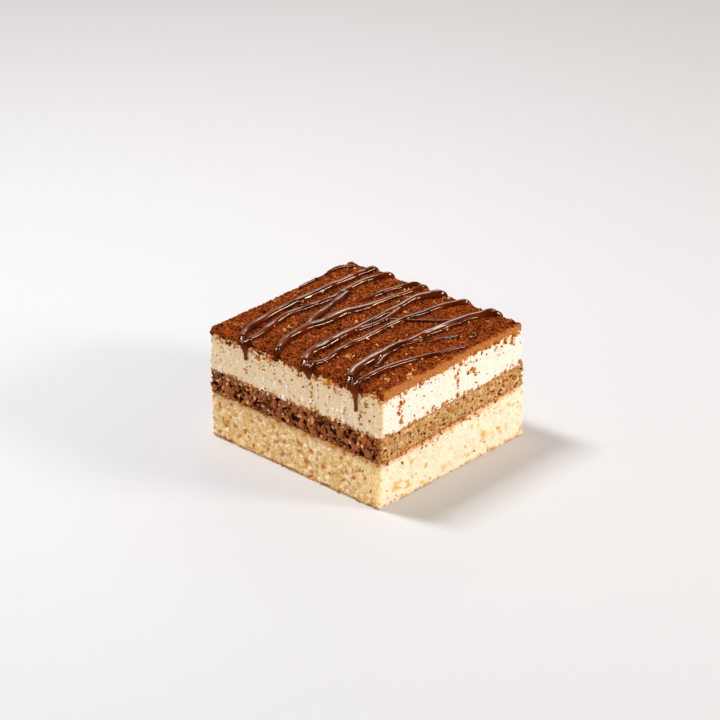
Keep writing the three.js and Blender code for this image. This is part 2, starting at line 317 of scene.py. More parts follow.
# How they spread: mean distances from a boundary, shares of the crumbs that lie at the upper boundary or at
# the foot, and a factor for their size. A pair is for the clean-cut sides and for the torn ones.
CRUMB_SPREAD = (1.0, 0.6)
UPPER_CRUMBS = (0.5, 0.85)
CRUMB_GROWTH = (1.15, 1.0)
LUMP_SPREAD = 0.9
FOOT_SPREAD = 0.8
FOOT_CRUMBS = (0.45, 1.0)

# The flat maps: the sides of a layer lie in bands with a margin, and its two caps above them. The bed of
# cocoa fills most of its map, and the face below it lies in a corner.
MAP_BANDS = 4
BAND_HEIGHT = 0.2
BAND_MARGIN = 0.04
CAP_SCALE = 0.08
CAP_SPOTS = ((0.1, 0.9), (0.4, 0.9))
BED_SCALE = 0.9
FOOT_SPOT = 0.92
FOOT_SCALE = 0.06

# Light inside the crumb and the cream: how far it goes, and how far for red, green and blue.
LIGHT_REACH = 2.0
LIGHT_SHARES = (1, 0.6, 0.3)

# The stage, in metres: half the floor's width and its finish, the way to the white wall, how it blends with
# the front, its colour, the share of the way up where the surroundings turn dark, and how dark.
FLOOR_HALF = 3.0
FLOOR_ROUGHNESS = 0.6
FLOOR_SHINE = 0.5
WALL_WAY = (-0.4, 0.92, 0)
WALL_BLEND = (-0.6, 0.8)
WALL_WHITE = (0.94, 0.965, 1)
DARK_ABOVE = (0.5, 0.72)
DARK_LIGHT = 0.08

# The camera, in metres and degrees: its turn from the front and its rise, the point that it faces and how far
# off that is, the shift of its picture in widths, and the width of its sensor in millimetres.
CAMERA_TURN = 41.9
CAMERA_RISE = 25.63
CAMERA_AIM = (0, 0, 0.02284)
CAMERA_DISTANCE = 0.9716
CAMERA_SHIFT = (-0.009, 0.0289)
SENSOR_WIDTH = 36

# The lamps, in watts and metres: power, size each way, place, colour, and whether they light the cake or only
# show in its gloss. They all face one point.
LAMP_AIM = (0, 0, 0.03)
LAMPS = {
    "key": (7, (0.3, 0.2), (0.92, 0.46, 0.46), (1, 0.92, 0.79), True),
    "top": (4.9, (0.12, 0.26), (-0.35, -0.1, 0.75), (1, 1, 1), True),
    "window": (2.7, (0.9, 0.8), (-0.66, 0.76, 0.46), (1, 0.57, 0.38), False),
    "pane": (0.5, (0.2, 0.14), (-0.62, 0.78, 0.56), (1, 0.96, 0.9), False),
    "ridge_glint": (5.6, (0.2, 0.2), (0.42, 0.67, 0.6), (1, 0.82, 0.52), False),
    "fold_glint": (9, (0.14, 0.5), (-0.42, -0.42, 0.83), (1, 0.97, 0.92), False),
    "front_glint": (1.6, (0.08, 0.6), (-0.62, -0.7, 0.42), (1, 0.98, 0.95), False),
}

# One shuffled table, and drawn directions and spots, from which all the noise is read. A factor brings the
# noise to about -1 to 1.
TABLE_SIZE = 256
NOISE_FACTOR = 1.6
dice = np.random.default_rng(20)
SHUFFLE = dice.permutation(TABLE_SIZE)
SPOTS = dice.random((TABLE_SIZE, 3))
DIRECTIONS = dice.normal(size=(TABLE_SIZE, 3))
DIRECTIONS /= np.linalg.norm(DIRECTIONS, axis=1, keepdims=True)


# Values that a user may change


def shade(red, green, blue):
    """A colour as light, from the 0 to 255 steps that a screen shows."""
    steps = np.array((red, green, blue)) / 255
    light = np.where(steps <= 0.04045, steps / 12.92, ((steps + 0.055) / 1.055) ** 2.4)
    return tuple(float(x) for x in light)


def colour(name, description, default):
    """A colour that a user may change."""
    return FloatVectorProperty(
        name=name, description=description, default=default, subtype="COLOR", size=3, min=0, max=1
    )


def length(name, description, default):
    """A length that a user may change, with its default in millimetres."""
    return FloatProperty(
        name=name, description=description, default=default * MM, subtype="DISTANCE", unit="LENGTH",
        precision=5, min=0
    )


def share(name, description, default):
    """A share from 0 to 1 that a user may change."""
    return FloatProperty(name=name, description=description, default=default, subtype="FACTOR", min=0, max=1)


def strength(name, description, default):
    """A strength of light that a user may change."""
    return FloatProperty(name=name, description=description, default=default, min=0)


def how_many(name, description, default):
    """A count that a user may change."""
    return IntProperty(name=name, description=description, default=default, min=0)


class SpongeLook(bpy.types.PropertyGroup):
    """The pale sponge at the bottom."""

    crumb: colour("Crumb", "Colour of the crumb where it is cut clean", shade(249, 232, 212))
    # On the torn sides the colour is partly crumb soaked with milk and partly painted shade: darker and
    # warmer, as the side turned from the light is.
    soaked: colour("Soaked crumb", "Colour of the crumb where it is torn", shade(236, 201, 141))
    pale: colour("Pale crumb", "Colour of the lumps that stand out", shade(248, 230, 197))
    tan: colour("Tan crumb", "Colour of the lumps that lie back", shade(219, 171, 102))
    hollow: colour("Hollows", "Colour inside the open pores", shade(210, 142, 66))
    toasted: colour("Toasted", "Colour of the toasted spots", shade(214, 128, 48))
    fleck: colour("Flecks", "Colour of the flecks on the clean cut", shade(232, 180, 90))
    stained: colour("Stained", "Colour where coffee soaked in from above", shade(200, 150, 100))
    # Painted glow: a lighter, warmer crumb colour at the right front corner, standing in for light that
    # shines through.
    glow: colour("Glow", "Colour of the crumb that light shines through at the corner", shade(255, 228, 164))
    crisp: colour("Crisp", "Colour of the darkest toasted crumbs", shade(224, 160, 82))
    golden: colour("Golden", "Colour of the lightest toasted crumbs", shade(248, 214, 150))
    base: colour("Base", "Colour of the browned bits along the foot", shade(176, 104, 48))
    pit_depth: length("Pit depth", "How deep the open pores go", 0.7)
    lump_height: length("Lump height", "How far the crumb's lumps stand out", 0.9)
    crumbs: how_many("Toasted crumbs", "How many toasted crumbs lie on it", 400)


class CoffeeLook(bpy.types.PropertyGroup):
    """The coffee-soaked sponge in the middle."""

    soaked: colour("Soaked", "Colour of the torn, soaked crumb", shade(176, 102, 50))
    dark: colour("Dark crumb", "Colour of the crumb that soaked up most", shade(84, 34, 10))
    wet: colour("Wet", "Colour of the lumps that are smooth and wet", shade(132, 84, 62))
    cut: colour("Cut", "Colour where the knife left it smooth", shade(186, 144, 88))
    dry: colour("Dry", "Colour of the paler patches of the smooth sides", shade(198, 168, 122))
    warm: colour("Warm", "Colour of the browner patches of the smooth sides", shade(172, 108, 52))
    # Painted shade: near black inside the holes and cracks of the torn sides, and dark inside the pores of
    # the smooth sides.
    pore: colour("Pores", "Colour inside the holes and cracks of the torn sides", shade(54, 11, 0))
    open_pore: colour("Open pores", "Colour inside the pores of the smooth sides", shade(96, 42, 14))
    rim: colour("Rim", "Colour of the coffee that ran along its edges", shade(180, 104, 42))
    crumb: colour("Loose crumbs", "Colour of the lightest crumbs along its edges", shade(226, 158, 84))
    tan: colour("Tan bits", "Colour of crumb that the coffee did not reach", shade(242, 202, 146))
    crag_depth: length("Crag depth", "How deep the torn sides are", 1.6)
    pore_depth: length("Pore depth", "How deep the pores of the smooth sides go", 0.7)
    crumbs: how_many("Crumb count", "How many crumbs lie along its edges", 1300)
    bits: how_many("Tan bit count", "How many tan bits lie on its torn sides", 190)


class CreamLook(bpy.types.PropertyGroup):
    """The whipped cream."""

    cream: colour("Cream", "Colour of the cream", shade(252, 236, 223))
    # On the torn sides the colour is partly painted shade: darker and warmer, as the side turned from the
    # light is, and partly the cream's own stain.
    stained: colour("Stained", "Colour of the cream where it is torn", shade(247, 223, 184))
    # The whiter lumps are partly painted highlight on the raised lumps and the middles of the curds.
    white: colour("White lumps", "Colour of the lumps that stand out", shade(255, 251, 244))
    dust: colour("Dust", "Colour of the cocoa dust below the edge", shade(196, 118, 54))
    # Painted glow: a lighter, warmer cream colour at the right front corner, standing in for light that
    # shines through.
    glow: colour("Glow", "Colour of the cream that light shines through at the corner", shade(252, 220, 168))
    streak_depth: length("Streak depth", "Depth of the upright streaks that the knife left", 0.2)
    lumps: how_many("Lump count", "How many lumps hang from its torn sides", 150)
    stray_lumps: how_many("Stray lumps", "How many more lumps hang from any side", 80)


class CocoaLook(bpy.types.PropertyGroup):
    """The bed of cocoa, its grains and its specks on the cream."""

    powder: colour("Powder", "Colour of the bed of cocoa", shade(154, 68, 21))
    # Painted shade: the near black colour in the pits, in the troughs of the waves and in fine dots on the
    # bed.
    pit: colour("Pits", "Colour of the cocoa in the pits", shade(28, 5, 0))
    # Painted shade beside the sauce and in some hollows, which stands also for cocoa that drew the sauce in.
    damp: colour("Damp", "Colour of the cocoa that drew in sauce", shade(58, 16, 2))
    dry: colour("Dry powder", "Colour of the drier patches of the bed", shade(180, 98, 44))
    clump: colour("Clumps", "Colour of the pale dry clumps", shade(248, 192, 120))
    smeared: colour("Smeared edge", "Colour of the edge that the knife wiped smooth", shade(178, 113, 61))
    speck: colour("Specks", "Colour of the darkest cocoa specks on the cream", shade(166, 82, 18))
    dry_speck: colour("Dry specks", "Colour of the lightest cocoa specks on the cream", shade(232, 160, 66))
    grain_height: length("Grain height", "How far the grains of the bed stand out", 0.45)
    grains: how_many("Loose grains", "How many loose grains lie on top", 1800)
    clumps: how_many("Clump count", "How many pale clumps lie on top, beside those in heaps", 150)


class SauceLook(bpy.types.PropertyGroup):
    """The chocolate sauce."""

    sauce: colour("Sauce", "Colour of the thick sauce", shade(46, 8, 0))
    amber: colour("Amber", "Colour of the sauce where it is less thick", shade(140, 54, 3))
    drips: colour("Drips", "Colour of the drips, which let the cream shine through", shade(122, 56, 14))
    gloss: share("Roughness", "Roughness of the sauce", 0.06)
    voxel: length("Mesh size", "Size of the mesh that joins the strands", 0.29)


class StageLook(bpy.types.PropertyGroup):
    """Floor, light and camera."""

    floor: colour("Floor", "Colour of the floor", (0.7, 0.722, 0.765))
    warm: colour("Warm shade", "Colour of the light from in front of the cake", (1, 0.87, 0.72))
    wall_light: strength("Wall light", "Strength of the white wall behind", 0.98)
    front_light: strength("Front light", "Strength of the light in front", 1.1)
    mirrored: share("Mirrored share", "How much of the surroundings gloss mirrors, beside the lamps", 0.12)
    lamps: strength("Lamps", "Strength of all lamps together", 1)
    lens: FloatProperty(name="Lens", description="Focal length", default=129, unit="CAMERA")


# Noise and shaping


def smooth(low, high, value):
    """Ease from 0 at low to 1 at high, by 3t^2 - 2t^3."""
    t = np.clip((value - low) / (high - low), 0, 1)
    return t * t * (3 - 2 * t)


def fade(low, high, value):
    """Ease from 1 at low to 0 at high."""
    return 1 - smooth(low, high, value)


def lot(cell):
    """A number drawn for each whole-numbered cell: its three places are looked up in the table in turn."""
    first = SHUFFLE[cell[..., 0] % TABLE_SIZE]
    second = SHUFFLE[(first + cell[..., 1]) % TABLE_SIZE]
    return SHUFFLE[(second + cell[..., 2]) % TABLE_SIZE]


def swell(points, size):
    """Gradient noise from about -1 to 1. Every corner of a lattice of that size has a drawn direction, and a
    point blends the slopes of its eight corners by the curve 6t^5 - 15t^4 + 10t^3. Points that a number is
    added to read another part of the noise."""
    spot = points / size
    cell = np.floor(spot).astype(int)
    part = spot - cell
    ease = part**3 * (part * (part * 6 - 15) + 10)
    total = np.zeros(spot.shape[:-1])
    for corner in np.ndindex(2, 2, 2):
        slope = DIRECTIONS[lot(cell + corner)]
        weight = np.where(corner, ease, 1 - ease).prod(axis=-1)
        total += weight * (slope * (part - corner)).sum(axis=-1)
    return NOISE_FACTOR * total


def waver(points, power, size):
    """Gradient noise of that power and size."""
    return power * swell(points, size)


def ground(x, y):
    """Points at height 0, at which noise for a place is read."""
    return np.stack((x, y, 0 * x), axis=-1)


def cells(points, size):
    """Cellular noise. Every cell of a lattice of that size has one drawn spot. Gives the distance to the
    nearest spot and to the next one, in cells, and a number from 0 to 1 that belongs to the nearest."""
    spot = points / size
    cell = np.floor(spot).astype(int)
    nearest = np.full(spot.shape[:-1], 9.0)
    second = nearest.copy()
    owner = np.zeros(spot.shape[:-1])
    for step in np.ndindex(3, 3, 3):
        there = cell + step - 1
        drawn = lot(there)
        gap = np.linalg.norm(there + SPOTS[drawn] - spot, axis=-1)
        second = np.minimum(second, np.maximum(nearest, gap))
        owner = np.where(gap < nearest, drawn / TABLE_SIZE, owner)
        nearest = np.minimum(nearest, gap)
    return nearest, second, owner


def tangle(points, size):
    """Three sizes of gradient noise on top of each other, each half as large and as strong as the last."""
    return sum(swell(points + 31 * k, size / 2**k) / 2**k for k in range(3))


def blotches(points, size, low, high):
    """Ragged blotches: 0 where three sizes of noise add up to less than low, and 1 from high on."""
    return smooth(low, high, tangle(points, size))


def crooked(points, size):
    """Points moved sideways by noise of about that size, which makes straight cell bounds crooked."""
    return points + 0.35 * size * np.stack([swell(points + k, 0.8 * size) for k in (11, 47, 83)], axis=-1)


def patches(points, size):
    """Crumb-like patches. Gives each patch's own number from 0 to 1, and a dome that falls off towards its
    bounds."""
    nearest, second, owner = cells(crooked(points, size), size)
    return owner, smooth(0, 0.5, second - nearest)


def spots(points, size, chosen, radius):
    """Soft crooked spots, 1 in the middle and 0 from the radius on, in a chosen share of the cells."""
    nearest, _, owner = cells(crooked(points, size), size)
    return np.where(owner < chosen, fade(0.3 * radius, radius, nearest), 0)


def curve(values, t):
    """Smooth curve through values at even steps, read at t from 0 to 1: a cubic between each pair of values
    whose slope at a value is half the step between its neighbours."""
    values = np.asarray(values, float)
    padded = np.concatenate((values[:1], values, values[-1:]))
    along = np.clip(t, 0, 1) * (len(values) - 1)
    k = np.minimum(along.astype(int), len(values) - 2)
    part = along - k
    before, start, end, after = (padded[k + i] for i in range(4))
    leave = (end - before) / 2
    arrive = (after - start) / 2
    square = part * part
    cube = square * part
    return (
        (2 * cube - 3 * square + 1) * start + (cube - 2 * square + part) * leave
        + (3 * square - 2 * cube) * end + (cube - square) * arrive
    )


# The cake's frame


def between(corners, x, y):
    """A value given at the four corners, blended along both ways at a place in the even box."""
    left_front, right_front, right_back, left_back = corners
    u = x / WIDTH + 0.5
    v = y / DEPTH + 0.5
    front = left_front + (right_front - left_front) * u
    back = left_back + (right_back - left_back) * u
    return front + (back - front) * v


def place(x, y, height):
    """Point of the cake for a place in the even box and a height: the box's corners lean from foot to top."""
    lean = height / FULL_HEIGHT
    across = (1 - lean) * between(FOOT_X, x, y) + lean * between(TOP_X, x, y)
    along = (1 - lean) * between(FOOT_Y, x, y) + lean * between(TOP_Y, x, y)
    return np.stack((across, along, height + 0 * x), axis=-1)


def outline(distance):
    """Place in the even box, and the way out of it, at a distance round its rounded outline. It goes
    counter-clockwise from the left end of the front: four straight sides joined by quarter turns."""
    runs = np.array((FRONT_RUN, TURN_RUN, SIDE_RUN, TURN_RUN) * 2)
    starts = np.cumsum(runs) - runs
    distance = distance % ROUND_TRIP
    which = np.searchsorted(starts, distance, side="right") - 1
    past = distance - starts[which]
    side = which // 2
    turning = which % 2 == 1
    heading = side * math.pi / 2 + np.where(turning, past / CORNER_ROUND, 0)
    middles = np.array(((-1, -1), (1, -1), (1, 1), (-1, 1))) * (FRONT_RUN / 2, SIDE_RUN / 2)
    middle = middles[np.where(turning, side + 1, side) % 4]
    ahead = np.stack((np.cos(heading), np.sin(heading)), axis=-1)
    out = np.stack((np.sin(heading), -np.cos(heading)), axis=-1)
    straight = np.where(turning, 0, past)[..., None]
    return middle + CORNER_ROUND * out + straight * ahead, out


def along_front(x):
    """Distance round the outline of a place on the front."""
    return np.asarray(x) + FRONT_RUN / 2


def along_right(y):
    """Distance round the outline of a place on the right side."""
    return FRONT_RUN + TURN_RUN + np.asarray(y) + SIDE_RUN / 2


def wall(distance, height):
    """Point of the plain cut side and the way that it faces."""
    spot, out = outline(distance)
    facing = np.concatenate((out, np.zeros(out.shape[:-1] + (1,))), axis=-1)
    return place(spot[..., 0], spot[..., 1], height), facing


def torn(facing):
    """1 on the front and left sides, which tore as they were cut, and 0 on the two clean-cut sides."""
    return np.clip(0.5 - 0.5 * (facing[..., 0] + facing[..., 1]), 0, 1)


def chipped(facing):
    """1 on the left front and right back corners, which crumbled, and 0 on the sides and other corners."""
    return np.clip(2 * facing[..., 0] * facing[..., 1], 0, 1)


def seam(corners, distance, ragged):
    """Height of a boundary between two layers: level from corner to corner, and ragged by noise."""
    spot, _ = outline(distance)
    x, y = spot[..., 0], spot[..., 1]
    level = between(corners, x, y)
    flat = np.stack((x, y, level), axis=-1)
    return level + ragged * sum(waver(flat, *row) for row in RAGGED_NOISE)


def base_line(distance):
    """The foot of the cake."""
    return 0 * distance


def sponge_line(distance):
    """The boundary of the two sponges."""
    return seam(SPONGE_TOP, distance, SPONGE_RAGGED)


def coffee_line(distance):
    """The boundary of the coffee sponge and the cream, which is more ragged on the torn sides."""
    _, out = outline(distance)
    return seam(COFFEE_TOP, distance, COFFEE_RAGGED + TORN_RAGGED * torn(out))


def front_hang(x, y):
    """How much lower the rim of cocoa hangs along the front: a bell curve at each of its places."""
    near = fade(0, HANG_REACH, y + DEPTH / 2)
    return near * sum(lower * np.exp(-(((x - middle) / half) ** 2)) for middle, half, lower in FRONT_HANGS)


def cream_line(distance):
    """The top of the cream, under the cocoa, with its bulge."""
    spot, _ = outline(distance)
    bulge = -np.minimum(front_hang(spot[..., 0], spot[..., 1]), 0)
    return seam(CREAM_TOP, distance, CREAM_RAGGED) + bulge


# Relief of each layer's sides: an offset along the way they face, and masks for the colours


def corner_glow(point, facing):
    """Painted glow: 1 on the front at the right corner, where light shines through, and less the farther from
    it.
    """
    away = np.clip(FOOT_X[1] - point[..., 0], 0, None)
    return np.clip(-facing[..., 1], 0, 1) * np.exp(-away / GLOW_REACH)


def sponge_relief(point, facing, above, below):
    """Crumb as domed patches of uneven height on soft waves, with crooked pores sunk into it. It is rougher
    where torn, and there the foot draws in unevenly. A relief also takes how far a point is above the layer's
    foot and below its top."""
    look = bpy.context.scene.sponge_look
    rough = torn(facing)
    tone, dome = patches(point, CRUMB)
    grain, grain_dome = patches(point + 50, CRUMB_GRAIN)
    pits = blotches(point + 70.7, *OPEN_PORE)
    holes = spots(point + 100, *TOASTED_HOLE)
    flecks = blotches(point + 25, *FLECK) * smooth(-0.2, 0.3, swell(point + 60, 6))
    low = fade(*FOOT_BAND, above + waver(point, *FOOT_WAVES))
    offset = waver(point, *SPONGE_WAVES) - SPONGE_INSET - FOOT_INSET * rough * low
    lumps = look.lump_height * dome * (tone - 0.3)
    offset += (0.3 + 0.7 * rough) * (lumps - look.pit_depth * np.maximum(pits, holes)) / MM
    offset += (0.1 + 0.25 * rough) * grain_dome * (grain - 0.4)
    masks = {
        "torn": rough,
        "tone": 0.5 + (0.7 + 0.6 * rough) * (0.6 * tone + 0.4 * grain - 0.5),
        "hollow": rough * pits,
        "toasted": rough * holes,
        "fleck": (1 - rough) * flecks,
        "stained": fade(*STAIN_BAND, below + waver(point, *STAIN_WAVES)),
        # Painted glow at the right front corner.
        "glow": 0.95 * corner_glow(point, facing),
        "base": low * ((0.2 + 0.3 * rough) + 0.5 * blotches(point + 15, *BROWNED_BIT)),
    }
    return offset, masks


def coffee_relief(point, facing, above, below):
    """Where torn: large crooked lumps of smaller ones, with deep holes between them. Where cut: almost flat,
    with pores of two sizes. The coffee ran along its lower edge, and less along its upper one, in a ragged
    band."""
    look = bpy.context.scene.coffee_look
    rough = torn(facing)
    large, dome = patches(point, CRAG)
    small, small_dome = patches(point + 9, CRAG_LUMP)
    cracks = fade(0, 0.6, dome) * smooth(-0.1, 0.4, swell(point + 27, 3.3))
    holes = np.maximum(spots(point + 3, *LARGE_HOLE), spots(point + 17, *SMALL_HOLE))
    holes = np.maximum(holes, 0.7 * cracks)
    oblong = point * (0.75, 0.75, 1.1)
    pores = np.maximum(spots(oblong + 20, *LARGE_PORE), spots(oblong + 7, *SMALL_PORE))
    crag = CRAG_HEIGHT * dome * (large - 0.4) + CRAG_LUMP_HEIGHT * small_dome * (small - 0.4)
    crag -= look.crag_depth / MM * holes
    flat = waver(point, *CUT_WAVES) + CUT_LUMP_HEIGHT * small_dome - look.pore_depth / MM * pores
    ragged = COFFEE_BAND_RAGGED * tangle(point + 5, COFFEE_BAND_NOISE)
    upper_rim = (0.35 - 0.35 * rough) * fade(*COFFEE_BAND, below + ragged)
    lower_rim = (1 - 0.2 * rough) * fade(*COFFEE_BAND, above + ragged)
    masks = {
        "torn": rough,
        "tone": rough * (0.6 * large + 0.4 * small) + (1 - rough) * (0.5 + 0.6 * (small - 0.5)),
        # The hole mask also carries the painted shade inside the holes and pores.
        "hole": rough * holes + (1 - rough) * pores,
        "tan": (0.6 + 0.4 * rough) * spots(point * (1, 1, 0.7) + 90, *TAN_SPOT) * (1 - holes),
        "rim": np.maximum(upper_rim, lower_rim),
    }
    return rough * crag + (1 - rough) * flat, masks


def cream_relief(point, facing, above, below):
    """Soft streaks drawn out upright, fine curds and dents, and on the torn sides raised white lumps, most of
    them low down."""
    look = bpy.context.scene.cream_look
    rough = torn(facing)
    streak = swell(point * STREAK_STRETCH, STREAK)
    curd, dome = patches(point + 130, CURD)
    low = fade(*LUMP_BAND, above)
    lumps = rough * (0.4 + 0.6 * low) * blotches(point * (1, 1, 0.6) + 40, *WHITE_LUMP)
    dents = smooth(0.3, 0.7, swell(point * (1, 1, 0.7) + 80, DENT))
    curds = (0.12 + 0.25 * rough) * dome * (curd - 0.3)
    offset = look.streak_depth / MM * streak + curds
    offset = offset + WHITE_LUMP_HEIGHT * lumps - DENT_DEPTH * dents - CREAM_INSET
    masks = {
        # Partly painted highlight: whiter on the raised lumps and in the middles of the curds.
        "white": np.clip(lumps + 0.55 * dome * smooth(0.5, 0.9, curd), 0, 1),
        "dust": fade(*DUST_BAND, below + waver(point, *DUST_WAVES)),
        "torn": rough,
        # Painted glow at the right front corner.
        "glow": corner_glow(point, facing) ** 2,
    }
    return offset, masks


def waves(x, y):
    """Height of the wide waves in the bed of cocoa, and of a heap at the left back edge."""
    away_x = (x - HEAP_PLACE[0]) / HEAP_HALF[0]
    away_y = (y - HEAP_PLACE[1]) / HEAP_HALF[1]
    heap = np.exp(-(away_x**2) - away_y**2)
    return waver(ground(x, y), *WIDE_WAVES) + HEAP_HEIGHT * heap


def mounds(x, y):
    """Height of the uneven bed of cocoa: its waves, with smaller heaps on them."""
    return waves(x, y) + waver(ground(x, y) + 30, *SMALL_HEAPS)


def damp(x, y):
    """Painted shade: 1 beside the sauce, which stands also for cocoa that drew it in, and in shaded hollows,
    and 0 from a little way off.
    """
    gap = np.full(x.shape, DAMP_REACH)
    for start, stop, across, width in STRANDS:
        t = (y - start) / (stop - start)
        beside = abs(x - DAMP_SHIFT - curve(across, t)) - SPREAD * curve(width, t) / 2
        gap = np.minimum(gap, np.maximum(beside, np.maximum(start - y, y - stop)))
    for middle_x, middle_y, half_x, half_y in DAMP_HOLLOWS:
        away = np.hypot((x - middle_x) / half_x, (y - middle_y) / half_y)
        gap = np.minimum(gap, DAMP_REACH * away)
    return fade(0, DAMP_REACH, gap + waver(ground(x, y), *DAMP_NOISE))


def cocoa_surface(flat_x, past_x, flat_y, past_y):
    """The bed of cocoa. A place on its flat part, and how far past the flat part's edge it is each way:
    0 to 1 goes over the edge by a quarter of an ellipse, 1 to 2 down to the rim and 2 to 3 into the cream.
    The square rings of that way are drawn round at the cake's corners. Gives points and masks."""
    past = np.maximum(abs(past_x), abs(past_y))
    safe = np.maximum(past, TINY)
    aside = np.stack((past_x, past_y), axis=-1) / safe[..., None]
    turn = np.minimum(past, 1) * math.pi / 2
    slope_x = np.where(past_x > 0, RIGHT_SLOPE, EDGE_SLOPE)
    slope = np.stack((slope_x, np.full(past.shape, EDGE_SLOPE)), axis=-1)
    tuck = OVERHANG * np.minimum(past, 1) - RIM_TUCK * np.clip(past - 2, 0, 1)
    out = slope * np.sin(turn)[..., None] + tuck[..., None]
    spot = np.stack((flat_x, flat_y), axis=-1) + aside * out
    inner = np.array((FRONT_RUN, SIDE_RUN)) / 2
    corner = spot - np.clip(spot, -inner, inner)
    reach = np.linalg.norm(corner, axis=-1)
    spot = spot - corner + corner * (abs(corner).max(axis=-1) / np.maximum(reach, TINY))[..., None]
    x, y = spot[..., 0], spot[..., 1]
    on_top = 1 - 0.6 * np.minimum(past, 1)
    shoulder = between(COCOA_TOP, x, y) + mounds(x, y) * on_top - EDGE_DROP * (1 - np.cos(turn))
    flat = ground(x, y)
    ragged = RIM_RAGGED * sum(swell(flat, size) for size in RIM_NOISE)
    rim = between(CREAM_TOP, x, y) - RIM_HANG - ragged - front_hang(x, y)
    height = shoulder + (rim - shoulder) * np.clip(past - 1, 0, 1)
    facing = np.concatenate((aside * np.sin(turn)[..., None], np.cos(turn)[..., None]), axis=-1)
    facing /= np.linalg.norm(facing, axis=-1, keepdims=True)
    right = past_x + (0.25 * tangle(flat, 3.5) + 0.2 * tangle(flat + 50, 1.1)) * (past_x > 0)
    wiped = smooth(0.35, 0.85, right) * fade(0.6, 1, abs(past_y))
    point = place(x, y, height)
    offset, masks = cocoa_relief(point, wiped, past)
    # Painted shade beside the sauce and in some hollows.
    masks["damp"] = damp(x, y)
    return point + facing * offset[..., None], masks


def cocoa_relief(point, wiped, past):
    """Grains as domed patches on waves of two sizes, with small pits all over and a few wide ones. It fades
    where the edge is wiped smooth."""
    look = bpy.context.scene.cocoa_look
    tone, dome = patches(point, COCOA_GRAIN)
    wave = swell(point, COCOA_WAVE)
    fine = swell(point + 40, COCOA_RIPPLE)
    wide_pits = spots(point + 60, *WIDE_PIT)
    small_pits = spots(point + 33, *SMALL_PIT)
    rough = (1 - 0.85 * wiped) * fade(2, 2.4, past)
    grains = dome * (tone - 0.2) + 0.8 * wave + 0.5 * fine
    height = look.grain_height / MM * grains - WIDE_PIT_DEPTH * wide_pits - SMALL_PIT_DEPTH * small_pits
    masks = {
        # Painted shade: near black in the pits and in the troughs of the waves.
        "pit": np.clip((1 - wiped) * (wide_pits + small_pits + 0.6 * smooth(0, -0.9, wave + fine)), 0, 1),
        "dry": (1 - wiped) * blotches(point + 15, *DRY_PATCH),
        "wiped": wiped,
    }
    return rough * height, masks


# Meshes


def quads(rows, columns, wrap):
    """The four corners of every cell of a grid of points, counted row by row, wrapped round or not."""
    first = np.arange(rows - 1)[:, None] * columns
    left = np.arange(columns if wrap else columns - 1)[None, :]
    right = (left + 1) % columns
    around = (first + left, first + right, first + right + columns, first + left + columns)
    return np.stack(around, axis=-1).reshape(-1, 4)


def new_piece(name, points, faces, material, masks=None):
    """One mesh object at the origin, from points in millimetres, that rides on the cake's one body."""
    mesh = bpy.data.meshes.new(name)
    mesh.from_pydata(np.asarray(points) * MM, [], faces)
    for mask, values in (masks or {}).items():
        attribute = mesh.attributes.new(mask, "FLOAT", "POINT")
        attribute.data.foreach_set("value", np.asarray(values, np.float32).ravel())
    # A face with more than four corners closes a shape, and stays flat.
    mesh.polygons.foreach_set("use_smooth", np.array([len(face) <= 4 for face in faces]))
    mesh.materials.append(material)
    piece = bpy.data.objects.new(name, mesh)
    bpy.context.scene.collection.objects.link(piece)
    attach(piece, "root")
    return piece


def bake_map(piece, corners):
    """Gives the piece a flat map that its finish can be written to."""
    layer = piece.data.uv_layers.new(name="OFBake")
    layer.data.foreach_set("uv", np.asarray(corners, np.float32).ravel())


def layer_piece(name, floor, ceiling, rows, relief, material):
    """One layer of the cake. Its sides are a grid: the distance round the cake by the share of the height
    from its floor to its ceiling, moved by the layer's relief. A ring let into the cake closes each end."""
    distance = np.arange(COLUMNS) * ROUND_TRIP / COLUMNS
    low = floor(distance)
    high = ceiling(distance)
    height = low + (high - low) * np.linspace(0, 1, rows + 1)[:, None]
    point, facing = wall(np.broadcast_to(distance, height.shape), height)
    offset, masks = relief(point, facing, height - low, high - height)
    offset = offset + CHIP * chipped(facing) * tangle(point + 200, 2)
    sides = point + facing * offset[..., None]
    ends = [point[k] - facing[k] * CAP_INSET for k in (0, -1)]
    points = np.concatenate((ends[:1], sides, ends[1:]))
    masks = {mask: np.concatenate((values[:1], values, values[-1:])) for mask, values in masks.items()}
    grid = quads(rows + 3, COLUMNS, True)
    last = (rows + 2) * COLUMNS
    caps = [np.arange(COLUMNS)[::-1], np.arange(last, last + COLUMNS)]
    faces = grid.tolist() + [cap.tolist() for cap in caps]
    piece = new_piece(name, points.reshape(-1, 3), faces, material, masks)
    bake_map(piece, layer_map(rows + 3, points.reshape(-1, 3), caps))
    return piece


def layer_map(rows, points, caps):
    """The sides' map has a quarter of the way round in each of four bands, and the caps lie above them."""
    band = COLUMNS // MAP_BANDS
    column = np.arange(COLUMNS)[None, :, None] + np.array((0, 1, 1, 0))
    row = np.arange(rows - 1)[:, None, None] + np.array((0, 0, 1, 1))
    number = np.arange(COLUMNS)[None, :, None] // band
    across = (column - number * band) / band + 0 * row
    up = (number + BAND_MARGIN + (1 - 2 * BAND_MARGIN) * row / (rows - 1)) * BAND_HEIGHT
    sides = np.stack((across, up + 0 * across), axis=-1).reshape(-1, 2)
    ends = [CAP_SCALE * points[cap, :2] / WIDTH + spot for cap, spot in zip(caps, CAP_SPOTS)]
    return np.concatenate([sides] + ends)


def bed_axis(low, high, edge):
    """One way across the bed of cocoa: places on its flat part, and how far past its edges each is."""
    flat = np.linspace(low, high, round((high - low) / BED_STEP))
    past = np.concatenate((-edge[::-1], 0 * flat, edge))
    return np.pad(flat, len(edge), mode="edge"), past


